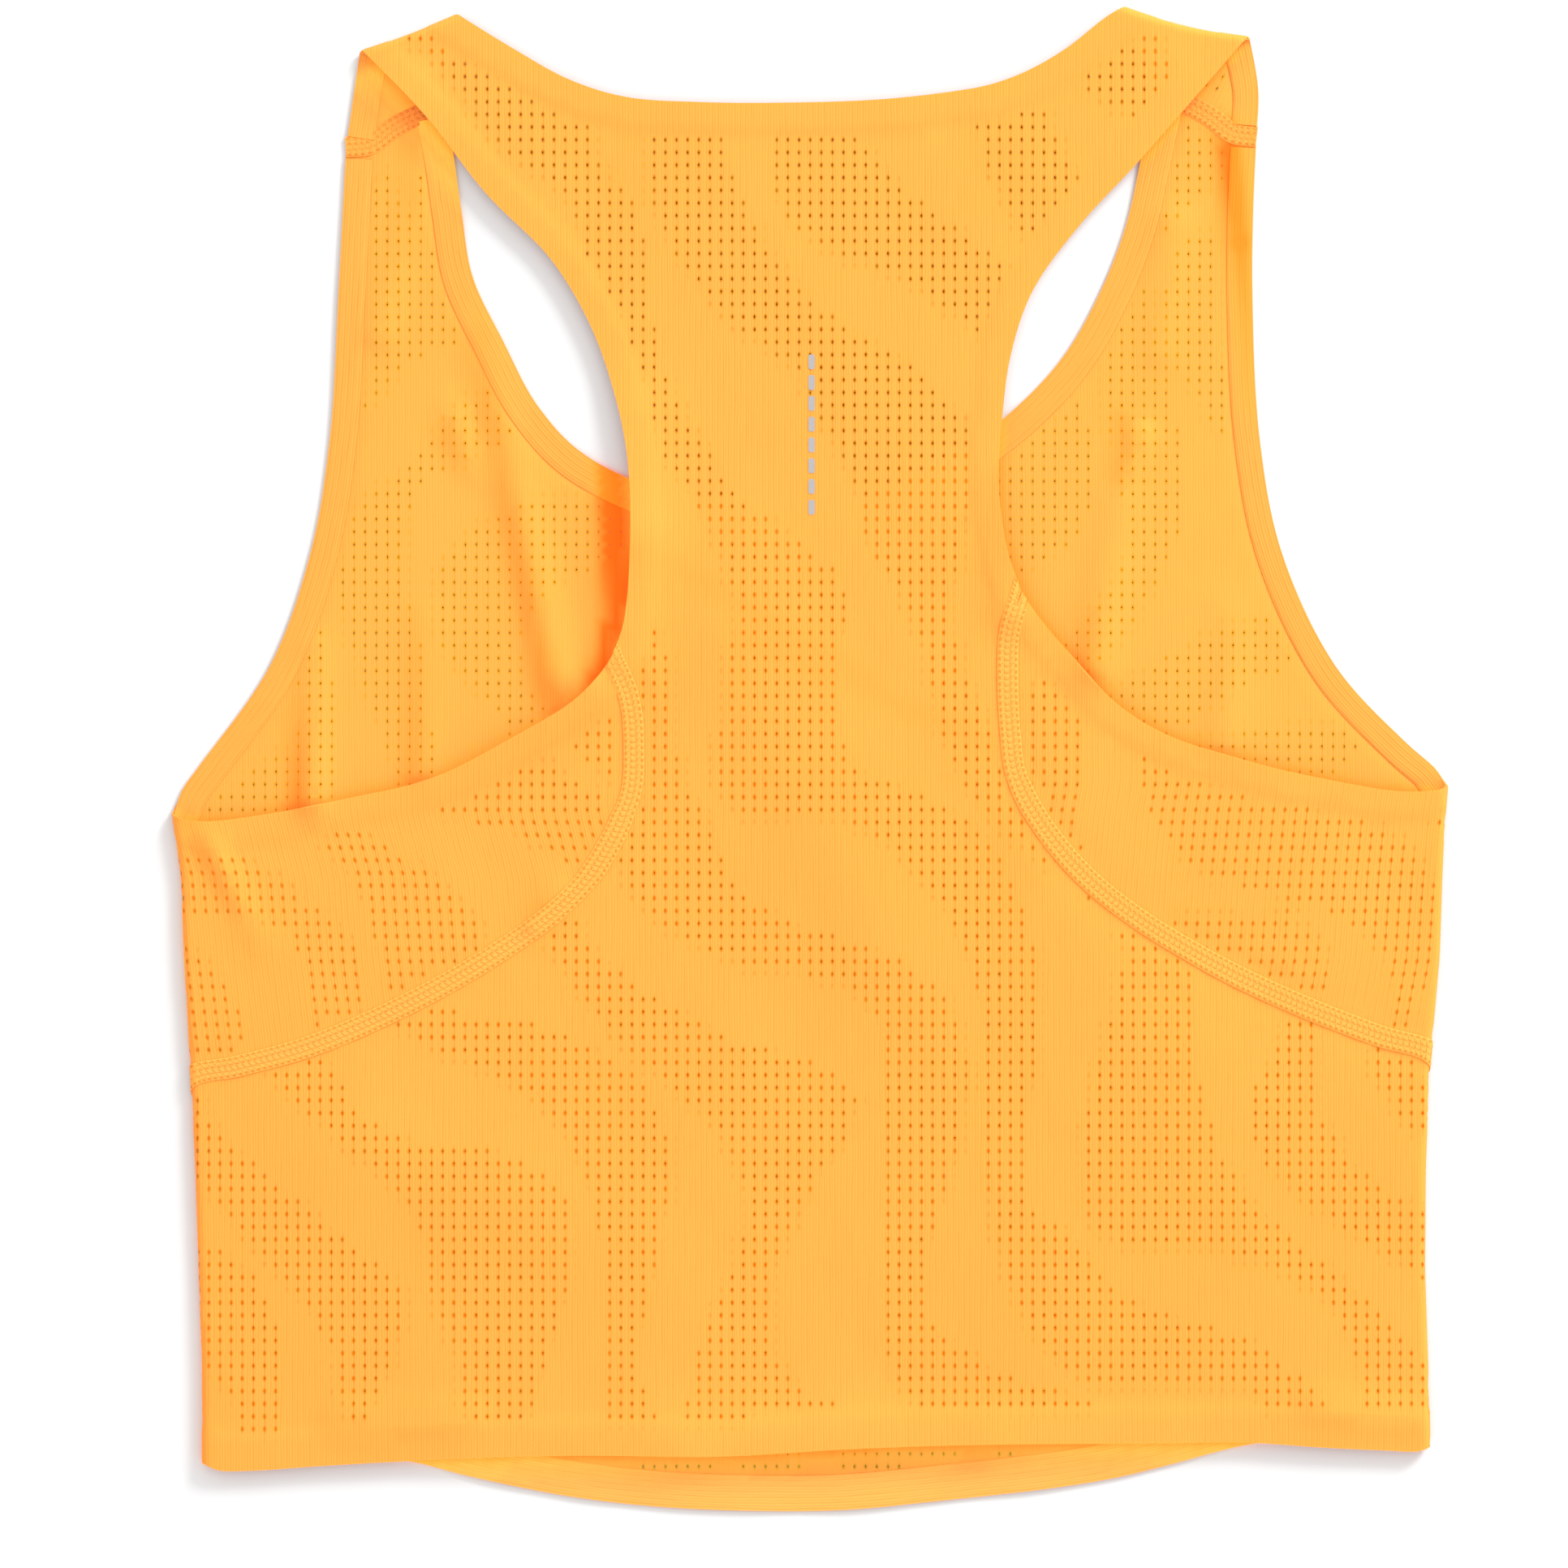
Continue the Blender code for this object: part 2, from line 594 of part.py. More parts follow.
def front_turnings() -> list:
    """The strips turned in on the front, as name, outer line and inner line.

    A strip runs over the panel's edge at its seams and stops short of the underarm.
    """
    neck = plan_edge(FRONT_NECK)
    left = plan_edge(LEFT_ARMHOLE_FRONT)[:-1]
    right = plan_edge(RIGHT_ARMHOLE_FRONT)[:-1]
    hem = front_hem()
    over = TURNING_OVERRUN
    return [
        Turning("front_neck_turning", lengthen(beside(neck, over), over, over),
                lengthen(beside(neck, -NECK_TURNING_WIDTH), over, over)),
        Turning("left_armhole_turning", lengthen(beside(left, -over), over, 0.0),
                lengthen(beside(left, ARMHOLE_TURNING_WIDTH), over, 0.0)),
        Turning("right_armhole_turning", lengthen(beside(right, over), over, 0.0),
                lengthen(beside(right, -ARMHOLE_TURNING_WIDTH), over, 0.0)),
        Turning("front_hem_turning", lengthen(beside(hem, -over), over, over),
                lengthen(beside(hem, HEM_TURNING_WIDTH), over, over)),
    ]


def inside(point: tuple, loop: list) -> bool:
    """Whether a point lies inside a closed loop."""
    crossings = 0
    for a, b in zip(loop, loop[1:] + loop[:1]):
        if (a[1] > point[1]) != (b[1] > point[1]):
            x = a[0] + (b[0] - a[0]) * (point[1] - a[1]) / (b[1] - a[1])
            crossings += x > point[0]
    return crossings % 2 == 1


def build_turning(turning: Turning, flat: list, faces: list, points: list) -> None:
    """A turned strip, made from the front's own faces between its lines and moved out."""
    loop = turning.outer + turning.inner[::-1]
    chosen = []
    for face in faces:
        middle = np.mean([flat[index] for index in face], axis=0)
        if inside(tuple(middle), loop):
            chosen.append(face)
    used = sorted({index for face in chosen for index in face})
    order = {index: place for place, index in enumerate(used)}
    rise = WALL + SEAM_GAP
    strip = [(points[index][0], points[index][1], points[index][2] + rise) for index in used]
    own_faces = [[order[index] for index in face] for face in chosen]
    cloth_object(turning.name, strip, own_faces, TURNING_COLOUR)


def build_front() -> None:
    """The front panel and the turned strips that show on its inside."""
    outline = inset(front_outline(), SEAM_GAP / 2)
    turnings = front_turnings()
    guides = side_guides(front_flat, -130 * MM, 6 * MM)
    for turning in turnings:
        guides.append(turning.inner)
    for turning in turnings[1:3]:
        edge_point = min(outline, key=lambda spot: math.dist(spot, turning.outer[-1]))
        guides.append([edge_point, turning.inner[-1]])
    flat, faces, points = build_panel("front_panel", outline, guides, place_front)
    for turning in turnings:
        build_turning(turning, flat, faces, points)


def centre_on_origin() -> None:
    """Move everything so that the whole lies on z = 0 with its plan's middle at the origin."""
    bpy.context.view_layer.update()
    graph = bpy.context.evaluated_depsgraph_get()
    corners = []
    for piece in bpy.context.scene.objects:
        corners += [Vector(corner) for corner in piece.evaluated_get(graph).bound_box]
    low = Vector([min(corner[axis] for corner in corners) for axis in range(3)])
    high = Vector([max(corner[axis] for corner in corners) for axis in range(3)])
    for piece in bpy.context.scene.objects:
        piece.location = (-(low.x + high.x) / 2, -(low.y + high.y) / 2, -low.z)


def main() -> None:
    """Build every piece of the top."""
    for old in list(bpy.data.objects):
        bpy.data.objects.remove(old, do_unlink=True)
    build_front()
    back_guides = side_guides(back_flat, -250 * MM, -80 * MM) + strap_guides()
    build_panel("back_panel", inset(back_outline(), SEAM_GAP / 2), back_guides, place_back)
    centre_on_origin()


main()
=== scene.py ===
"""Running crop top with a racer back, laid flat with its back up: the visual model.

The cloth is cut flat, with its eyelets, and then laid over the same folds as the solids.
The front lies lowest with its inside up; its sides turn over at the side folds and lie on
the back as underarm wings.  The back lies on top and turns under at the shoulders.

Tables are in millimetres on the plan of the garment as it lies.  X runs across, Y from hem
to neck and Z up.  Everything is built in metres.
"""

import functools
import logging
import math
import random
from dataclasses import dataclass, field
from enum import Enum
from typing import Callable, NamedTuple

import bpy
import numpy as np
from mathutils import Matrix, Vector
from mathutils.geometry import delaunay_2d_cdt
from mathutils.kdtree import KDTree


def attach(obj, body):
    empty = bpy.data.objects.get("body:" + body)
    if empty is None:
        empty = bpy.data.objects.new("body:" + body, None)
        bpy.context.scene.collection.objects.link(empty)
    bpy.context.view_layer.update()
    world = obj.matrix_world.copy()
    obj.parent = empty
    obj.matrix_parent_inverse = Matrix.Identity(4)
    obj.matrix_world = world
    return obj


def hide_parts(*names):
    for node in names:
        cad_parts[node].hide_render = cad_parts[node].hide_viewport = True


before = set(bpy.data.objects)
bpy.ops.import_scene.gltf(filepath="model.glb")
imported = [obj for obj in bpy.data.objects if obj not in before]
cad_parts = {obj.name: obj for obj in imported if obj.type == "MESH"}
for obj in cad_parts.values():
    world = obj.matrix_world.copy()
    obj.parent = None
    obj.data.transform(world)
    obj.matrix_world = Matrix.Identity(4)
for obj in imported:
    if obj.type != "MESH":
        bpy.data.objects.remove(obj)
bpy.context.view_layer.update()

log = logging.getLogger("crop_top")

MM = 0.001
PLAN_SHIFT = (0.038 * MM, 0.017 * MM)   # from the plan's tables to the frame's origin
BODY = "root"

Array = np.ndarray
Material = bpy.types.Material
Piece = bpy.types.Object
Placer = Callable[[Array], Array]
Socket = bpy.types.NodeSocket
Colour = tuple[float, float, float, float]


class Layer(Enum):
    """Where a knot lies on the garment as it rests."""

    LOWER = "lower"
    UPPER = "upper"
    TURN = "turn"


class EdgeKind(Enum):
    """What an edge of a panel is, which says how close to it eyelets come."""

    NECK = "neck"
    ARMHOLE = "armhole"
    HEM = "hem"
    SEAM = "seam"
    SHOULDER = "shoulder"


class Knot(NamedTuple):
    """A point that an edge passes through, in millimetres on the plan."""

    x: float
    y: float
    layer: Layer = Layer.LOWER


class SideRow(NamedTuple):
    """How far the left and right folds reach at a height on the plan, in millimetres."""

    y: float
    left: float
    right: float


class SeamKnee(NamedTuple):
    """A point of the side seam below the fold: its share of the inset, and millimetres down."""

    share: float
    down: float


class Crease(NamedTuple):
    """A soft ridge from one point to another, all in millimetres, with its height as the rise."""

    x0: float
    y0: float
    rise0: float
    x1: float
    y1: float
    rise1: float
    width: float


@dataclass(frozen=True)
class ClothSizes:
    """Sizes of the knit and of the way it is folded.

    Attributes:
        thickness: of one layer of the knit.
        turning_thickness: of the strip that is turned in along an edge.
        bond_gap: between a turned strip and the panel that it is bonded to.
        seam_gap: between two panels under their seam.
        lower_level: height of the middle of the lower layer.
        turn_radius: of the cloth's middle where it turns over at a fold.
        side_seam_inset: from the side fold to the seam underneath.
        edge_step: spacing of the points along an edge.
        plain_step: spacing of the points where the cloth has no eyelets.
    """

    thickness: float = 0.5 * MM
    turning_thickness: float = 0.34 * MM
    bond_gap: float = 0.05 * MM
    seam_gap: float = 0.3 * MM
    lower_level: float = 0.5 * MM
    turn_radius: float = 1.8 * MM
    side_seam_inset: float = 8.0 * MM
    edge_step: float = 2.2 * MM
    plain_step: float = 4.2 * MM

    @property
    def upper_level(self) -> float:
        """Height of the middle of the upper layer."""
        return self.lower_level + 2 * self.turn_radius

    @property
    def fold_reach(self) -> float:
        """From the line where the flat layers end to the outer face of the fold."""
        return self.turn_radius + self.thickness / 2

    @property
    def half_turn(self) -> float:
        """Length of cloth round one fold."""
        return math.pi * self.turn_radius


CLOTH = ClothSizes()


def lower(*rows: tuple[float, float]) -> list[Knot]:
    """Knots on the lower layer."""
    return [Knot(x, y, Layer.LOWER) for x, y in rows]


def upper(*rows: tuple[float, float]) -> list[Knot]:
    """Knots on the upper layer."""
    return [Knot(x, y, Layer.UPPER) for x, y in rows]


SIDE_FOLDS = (
    SideRow(y=-8.0, left=-212.0, right=212.0),
    SideRow(y=-18.0, left=-212.0, right=211.2),
    SideRow(y=-39.0, left=-209.2, right=210.2),
    SideRow(y=-66.0, left=-208.2, right=209.3),
    SideRow(y=-104.0, left=-206.0, right=205.9),
    SideRow(y=-136.0, left=-204.4, right=204.7),
    SideRow(y=-169.0, left=-203.3, right=204.4),
    SideRow(y=-201.0, left=-202.2, right=205.5),
    SideRow(y=-236.0, left=-202.0, right=206.2),
)

# Edges of the front, x and y on the plan.
FRONT_NECK = lower(
    (-121.5, 217.5), (-118.4, 200.5), (-115.7, 181.5), (-112.2, 160.8), (-102.0, 139.0),
    (-90.5, 117.6), (-75.0, 101.4), (-45.0, 88.0), (-13.0, 83.0), (15.0, 86.5), (41.0, 97.3),
    (65.1, 114.1), (84.0, 133.8), (96.4, 155.4), (104.8, 177.0), (109.8, 199.0), (114.5, 221.5),
)
LEFT_SHOULDER = lower(
    (-154.4, 203.5), (-146.0, 204.5), (-138.8, 209.8), (-131.0, 213.8), (-121.5, 217.5),
)
RIGHT_SHOULDER = lower(
    (114.5, 221.5), (125.6, 217.8), (133.7, 213.2), (140.4, 208.2), (148.5, 206.9),
)
RIGHT_STRAP_SIDE = lower((149.2, 222.0))    # of the back's outer edge beneath the shoulder fold
LEFT_ARMHOLE_FRONT = lower(
    (-154.4, 203.5), (-156.9, 155.4), (-159.8, 106.8), (-166.1, 69.0), (-179.6, 31.2),
    (-202.5, -1.2), (-208.5, -9.5),
)
RIGHT_ARMHOLE_FRONT = lower(
    (148.5, 206.9), (147.4, 180.0), (147.2, 155.4), (149.6, 106.8), (156.9, 69.0), (174.7, 31.2),
    (198.0, 5.8), (208.0, -3.0),
)
FRONT_HEM = lower(
    (-155.0, -232.2), (-133.4, -233.6), (-113.7, -238.5), (-80.5, -245.2), (-49.4, -248.8),
    (-18.4, -250.1), (11.3, -249.8), (41.0, -247.0), (81.5, -242.4), (102.0, -239.0),
    (119.3, -234.8), (146.1, -228.0), (170.0, -226.3),
)

# Edges of the wings and the back, x and y on the plan.
LEFT_WING_TOP = [Knot(-212.0, -18.0, Layer.TURN)] + upper(
    (-204.0, -20.4), (-178.2, -17.7), (-153.4, -12.8), (-125.6, -6.1), (-97.5, 8.2),
    (-79.1, 19.3), (-69.7, 28.8), (-65.9, 34.4),
)
RIGHT_WING_TOP = [Knot(212.0, -8.8, Layer.TURN)] + upper(
    (198.2, -10.6), (170.6, -6.3), (147.2, -0.9), (118.8, 8.2), (101.5, 19.0),
    (85.1, 36.6), (75.1, 48.7), (70.2, 56.0),
)
LEFT_BACK_SEAM = upper(
    (-65.9, 34.4), (-60.2, 20.5), (-58.6, 4.0), (-60.2, -13.4), (-70.2, -34.2),
    (-84.2, -50.1), (-107.5, -66.6), (-134.5, -81.7), (-165.0, -95.0), (-190.0, -102.0),
) + [Knot(-206.0, -106.0, Layer.TURN)]
RIGHT_BACK_SEAM = upper(
    (70.2, 56.0), (66.2, 42.0), (65.6, 28.0), (66.4, 10.0), (68.6, -5.5), (76.7, -21.2),
    (90.7, -38.2), (108.8, -52.8), (136.4, -69.3), (162.8, -81.7), (189.3, -92.0),
) + [Knot(206.0, -98.0, Layer.TURN)]
LEFT_ARMHOLE_BACK = upper(
    (-149.0, 235.6), (-127.7, 213.4), (-107.7, 187.8), (-86.4, 166.2), (-73.4, 144.6),
    (-65.6, 123.0), (-61.0, 101.4), (-59.9, 74.4), (-62.1, 45.5), (-65.9, 34.4),
)
RIGHT_ARMHOLE_BACK = upper(
    (145.6, 240.2), (109.6, 198.9), (89.4, 177.0), (74.0, 155.4), (66.7, 133.8),
    (64.0, 113.3), (62.7, 91.7), (65.3, 70.9), (70.2, 56.0),
)
BACK_NECK = upper(
    (-117.2, 247.7), (-98.8, 236.4), (-80.0, 226.0), (-61.6, 220.3), (-37.3, 218.5),
    (-8.0, 218.3), (23.5, 219.4), (47.8, 222.1), (60.0, 224.4), (72.1, 228.9), (85.1, 236.4),
    (98.6, 247.0), (104.2, 250.2),
)
BACK_HEM = [Knot(-202.0, -234.0, Layer.TURN)] + upper(
    (-197.0, -236.4), (-186.0, -236.6), (-163.4, -235.1), (-133.4, -233.4), (-80.5, -231.6),
    (-28.9, -231.8), (12.4, -229.4), (53.7, -228.0), (119.3, -227.5), (146.1, -227.3),
    (169.0, -228.8), (190.0, -229.8), (202.5, -230.1),
) + [Knot(206.0, -228.6, Layer.TURN)]
SIDE_SEAM_KNEES = (SeamKnee(share=0.7, down=14.0), SeamKnee(share=1.0, down=30.0))
LEFT_HEM_HEIGHT = -234.5    # of the side seam's lower end
RIGHT_HEM_HEIGHT = -228.6

# The large folds.  Those of the lower layer lift the upper layer with them.
LOWER_CREASES = (
    Crease(x0=-108.0, y0=142.0, rise0=0.9, x1=-97.0, y1=86.0, rise1=1.9, width=6.5),
    Crease(x0=-97.0, y0=86.0, rise0=1.9, x1=-85.0, y1=28.0, rise1=3.0, width=6.5),
    Crease(x0=-164.0, y0=36.0, rise0=0.9, x1=-165.5, y1=-14.0, rise1=2.6, width=5.0),
    Crease(x0=-128.5, y0=46.0, rise0=0.6, x1=-128.5, y1=-4.0, rise1=1.2, width=6.0),
    Crease(x0=-119.0, y0=116.0, rise0=1.2, x1=-113.0, y1=97.0, rise1=1.0, width=4.5),
    Crease(x0=-131.0, y0=190.0, rise0=0.8, x1=-143.0, y1=142.0, rise1=1.5, width=6.0),
    Crease(x0=103.0, y0=86.0, rise0=1.3, x1=94.0, y1=30.0, rise1=2.4, width=6.5),
    Crease(x0=110.0, y0=107.0, rise0=1.9, x1=104.0, y1=92.0, rise1=1.4, width=4.5),
    Crease(x0=121.0, y0=178.0, rise0=1.4, x1=116.0, y1=136.0, rise1=0.9, width=6.5),
    Crease(x0=141.0, y0=48.0, rise0=0.8, x1=138.0, y1=8.0, rise1=1.3, width=6.0),
)
UPPER_CREASES = (
    Crease(x0=-62.0, y0=112.0, rise0=1.6, x1=-60.0, y1=74.0, rise1=3.4, width=14.0),
    Crease(x0=-60.0, y0=74.0, rise0=3.4, x1=-64.0, y1=36.0, rise1=2.6, width=14.0),
    Crease(x0=-72.0, y0=24.0, rise0=3.0, x1=-122.0, y1=-6.0, rise1=0.8, width=10.0),
    Crease(x0=-138.0, y0=224.0, rise0=1.2, x1=-124.0, y1=208.0, rise1=0.6, width=8.0),
    Crease(x0=-110.0, y0=-233.0, rise0=0.5, x1=-40.0, y1=-231.0, rise1=2.2, width=14.0),
    Crease(x0=-40.0, y0=-231.0, rise0=2.2, x1=60.0, y1=-228.0, rise1=2.4, width=14.0),
    Crease(x0=60.0, y0=-228.0, rise0=2.4, x1=128.0, y1=-228.0, rise1=0.6, width=13.0),
    Crease(x0=66.0, y0=92.0, rise0=1.0, x1=67.0, y1=50.0, rise1=2.2, width=8.0),
    Crease(x0=-199.0, y0=-29.0, rise0=2.0, x1=-182.0, y1=-62.0, rise1=0.9, width=4.2),
    Crease(x0=-85.0, y0=-43.0, rise0=1.4, x1=-92.0, y1=-55.0, rise1=0.9, width=3.6),
    Crease(x0=-156.0, y0=-219.0, rise0=1.0, x1=-112.0, y1=-219.0, rise1=1.2, width=6.0),
    Crease(x0=168.0, y0=-215.0, rise0=1.0, x1=200.0, y1=-219.0, rise1=1.4, width=6.0),
    Crease(x0=-30.0, y0=60.0, rise0=0.4, x1=26.0, y1=-60.0, rise1=1.4, width=26.0),
    Crease(x0=120.0, y0=-100.0, rise0=1.6, x1=60.0, y1=-190.0, rise1=0.6, width=24.0),
    Crease(x0=-150.0, y0=-130.0, rise0=1.5, x1=-70.0, y1=-160.0, rise1=0.7, width=22.0),
)

# Painted shade in the folds: along these lines the yellow is painted a darker orange.  Here the
# rise is the share of it, and a value over 1 widens the place where it is whole.
LOWER_FOLD_SHADES = (
    Crease(x0=-67.0, y0=101.0, rise0=1.7, x1=-64.0, y1=54.0, rise1=1.9, width=4.6),
    Crease(x0=-64.0, y0=54.0, rise0=1.9, x1=-71.0, y1=25.0, rise1=1.5, width=2.8),
    Crease(x0=-112.0, y0=150.0, rise0=0.18, x1=-102.0, y1=91.0, rise1=0.34, width=4.6),
    Crease(x0=-102.0, y0=91.0, rise0=0.34, x1=-87.0, y1=20.0, rise1=0.62, width=4.8),
    Crease(x0=-170.6, y0=30.0, rise0=0.12, x1=-170.8, y1=-15.0, rise1=0.75, width=3.8),
    Crease(x0=-131.0, y0=53.0, rise0=0.08, x1=-132.0, y1=-5.0, rise1=0.34, width=4.4),
    Crease(x0=-122.0, y0=106.0, rise0=0.26, x1=-118.0, y1=100.0, rise1=0.20, width=4.4),
    Crease(x0=104.0, y0=112.0, rise0=0.36, x1=103.0, y1=95.0, rise1=0.26, width=4.0),
    Crease(x0=94.0, y0=54.0, rise0=0.10, x1=92.0, y1=26.0, rise1=0.55, width=4.2),
    Crease(x0=139.0, y0=208.0, rise0=1.30, x1=143.0, y1=172.0, rise1=1.00, width=5.2),
    Crease(x0=143.0, y0=172.0, rise0=1.00, x1=147.0, y1=118.0, rise1=0.35, width=5.0),
    Crease(x0=-134.0, y0=206.0, rise0=0.30, x1=-131.0, y1=166.0, rise1=0.12, width=3.6),
)
UPPER_FOLD_SHADES = (
    Crease(x0=-208.0, y0=-19.0, rise0=0.34, x1=-194.0, y1=-46.0, rise1=0.14, width=3.2),
    Crease(x0=-90.0, y0=-50.0, rise0=0.30, x1=-86.0, y1=-55.0, rise1=0.22, width=4.2),
    Crease(x0=-44.0, y0=64.0, rise0=0.12, x1=22.0, y1=24.0, rise1=0.16, width=3.4),
    Crease(x0=-22.0, y0=40.0, rise0=0.12, x1=64.0, y1=3.0, rise1=0.14, width=3.4),
    Crease(x0=-206.0, y0=-150.0, rise0=0.16, x1=-204.0, y1=-232.0, rise1=0.22, width=6.0),
)
KEY_WAY = (0.667, 0.745)    # over the plan, from the garment to the main light
PLAN_HALF = (222, 262)      # half sizes of the upper layer's map, in millimetres
LEADING_POWER = 4           # how strongly the highest of several ridges leads


class Patch(NamedTuple):
    """A round place of a panel where the knit is more open, in millimetres."""

    x: float
    y: float
    radius: float
    gain: float


class Wave(NamedTuple):
    """One slow wave of the cloth's unevenness, lengths and height in millimetres."""

    across: float
    along: float
    phase: float
    rise: float


LOWER_WAVES = (
    Wave(across=61.0, along=210.0, phase=0.4, rise=0.10),
    Wave(across=-47.0, along=96.0, phase=1.9, rise=0.08),
    Wave(across=29.0, along=-74.0, phase=3.1, rise=0.05),
)
UPPER_WAVES = (
    Wave(across=74.0, along=160.0, phase=2.2, rise=0.12),
    Wave(across=-52.0, along=83.0, phase=0.7, rise=0.09),
    Wave(across=33.0, along=58.0, phase=4.0, rise=0.05),
)


def ridge_height(creases: tuple[Crease, ...], x: Array, y: Array) -> Array:
    """Height of the ridges on the plan; where some meet, the highest leads.

    Args:
        creases: the ridges.
        x: places across, in metres.
        y: places along, in metres.

    Returns:
        The height in metres at each place.
    """
    total = np.zeros_like(x)
    for crease in creases:
        run_x, run_y = crease.x1 - crease.x0, crease.y1 - crease.y0
        from_x, from_y = x / MM - crease.x0, y / MM - crease.y0
        along = (from_x * run_x + from_y * run_y) / (run_x * run_x + run_y * run_y)
        along = np.clip(along, 0.0, 1.0)
        away = np.hypot(from_x - run_x * along, from_y - run_y * along) / crease.width
        rise = crease.rise0 + (crease.rise1 - crease.rise0) * along
        total += (rise * np.exp(-away * away)) ** LEADING_POWER
    return total ** (1 / LEADING_POWER) * MM


def wave_height(waves: tuple[Wave, ...], x: Array, y: Array) -> Array:
    """Slow unevenness of a layer that nobody has pressed flat.

    Args:
        waves: of the layer.
        x: places across, in metres.
        y: places along, in metres.

    Returns:
        The height in metres at each place.
    """
    total = np.zeros_like(x)
    for wave in waves:
        turn = x / (wave.across * MM) + y / (wave.along * MM)
        total += wave.rise * MM * (1.0 + np.sin(2 * math.pi * turn + wave.phase))
    return total


def lower_height(x: Array, y: Array) -> Array:
    """Height of the middle of the lower layer, in metres."""
    return CLOTH.lower_level + ridge_height(LOWER_CREASES, x, y) + wave_height(LOWER_WAVES, x, y)


def upper_height(x: Array, y: Array) -> Array:
    """Height of the middle of the upper layer, in metres."""
    ridges = ridge_height(LOWER_CREASES + UPPER_CREASES, x, y)
    return CLOTH.upper_level + ridges + wave_height(UPPER_WAVES, x, y)


class SideFold:
    """The fold at one side, with side -1 on the left and +1 on the right.

    A distance round the fold is zero where the lower layer ends, grows through the turn to
    the upper layer, and is negative on the lower layer.
    """

    def __init__(self, side: int) -> None:
        """Takes the fold's line from the table.

        Args:
            side: -1 for the left fold, +1 for the right one.
        """
        self.side = side
        self.rows_y = [row.y * MM for row in reversed(SIDE_FOLDS)]
        reach = [row.left if side < 0 else row.right for row in reversed(SIDE_FOLDS)]
        self.rows_x = [x * MM - side * CLOTH.fold_reach for x in reach]

    def line(self, y: Array) -> Array:
        """X of the line where the flat layers end."""
        return np.interp(y, self.rows_y, self.rows_x)

    def round_distance(self, knot: Knot) -> float:
        """Distance round the fold of a knot on the plan.

        Args:
            knot: the knot.

        Returns:
            The distance in metres.
        """
        if knot.layer is Layer.TURN:
            return CLOTH.half_turn / 2
        inwards = self.side * (float(self.line(knot.y * MM)) - knot.x * MM)
        return inwards + CLOTH.half_turn if knot.layer is Layer.UPPER else -inwards

    def place(self, distance: Array, y: Array) -> Array:
        """Points of the cloth's middle at distances round the fold.

        Args:
            distance: distances round the fold, in metres.
            y: places along the fold, in metres.

        Returns:
            One row of x, y and z for each place.
        """
        line = self.line(y)
        angle = np.clip(distance / CLOTH.turn_radius, 0.0, math.pi)
        bottom = lower_height(line, y)
        half_height = (upper_height(line, y) - bottom) / 2
        turn_x = line + self.side * CLOTH.turn_radius * np.sin(angle)
        turn_z = bottom + half_height * (1 - np.cos(angle))
        under_x = line + self.side * distance
        over_x = line - self.side * (distance - CLOTH.half_turn)
        under = distance <= 0.0
        over = distance >= CLOTH.half_turn
        x = np.where(under, under_x, np.where(over, over_x, turn_x))
        z = np.where(over, upper_height(over_x, y), turn_z)
        z = np.where(under, lower_height(under_x, y), z)
        return np.stack([x, y, z], axis=1)


class StrapFold:
    """A fold over a shoulder, whose outer line sags a little between its two ends."""

    def __init__(self, start: Knot, end: Knot, sag: float) -> None:
        """Finds the fold's line.

        Args:
            start: left end of the outer line.
            end: right end of the outer line.
            sag: how far the line sags in its middle.
        """
        first, last = np.array([start.x, start.y]) * MM, np.array([end.x, end.y]) * MM
        self.run = last - first
        self.outwards = np.array([-self.run[1], self.run[0]]) / np.linalg.norm(self.run)
        self.sag = sag
        self.origin = first - self.outwards * CLOTH.fold_reach

    def line_drop(self, share: Array) -> Array:
        """How far the fold's line sags at shares of the way along it."""
        share = np.clip(share, 0.0, 1.0)
        return 4 * self.sag * share * (1 - share)

    def line_point(self, share: float) -> Array:
        """Point of the fold's line at a share of the way along it."""
        return self.origin + self.run * share - self.outwards * self.line_drop(share)

    def beyond(self, flat: Array) -> Array:
        """How far points of the opened strap lie past the fold's line."""
        from_start = flat - self.origin
        share = from_start @ self.run / (self.run @ self.run)
        return from_start @ self.outwards + self.line_drop(share)

    def open_out(self, knot: Knot) -> tuple[float, float]:
        """Place on the opened panel of a knot that lies underneath."""
        point = np.array([knot.x, knot.y]) * MM
        return tuple(point + self.outwards * (CLOTH.half_turn - 2 * self.beyond(point)))

    def place(self, flat: Array) -> Array:
        """Points of the cloth's middle for points past the fold's line.

        Args:
            flat: places on the opened strap.

        Returns:
            One row of x, y and z for each place.
        """
        past = self.beyond(flat)
        foot = flat - past[:, None] * self.outwards
        top = upper_height(foot[:, 0], foot[:, 1])
        half_height = (top - lower_height(foot[:, 0], foot[:, 1])) / 2
        angle = np.clip(past / CLOTH.turn_radius, 0.0, math.pi)
        turned = foot + (CLOTH.turn_radius * np.sin(angle))[:, None] * self.outwards
        under = foot - (past - CLOTH.half_turn)[:, None] * self.outwards
        is_under = past >= CLOTH.half_turn
        plan = np.where(is_under[:, None], under, turned)
        turn_z = top - half_height * (1 - np.cos(angle))
        z = np.where(is_under, lower_height(under[:, 0], under[:, 1]), turn_z)
        return np.column_stack([plan, z])


NORMAL_REACH = 0.2 * MM     # over which a normal is taken
LEAST_MITER = 0.5           # so that no sharp corner of an outline shoots out
LEFT_FOLD = SideFold(side=-1)
RIGHT_FOLD = SideFold(side=1)
LEFT_STRAP_FOLD = StrapFold(LEFT_ARMHOLE_BACK[0], BACK_NECK[0], sag=0.5 * MM)
RIGHT_STRAP_FOLD = StrapFold(BACK_NECK[-1], RIGHT_ARMHOLE_BACK[0], sag=1.4 * MM)


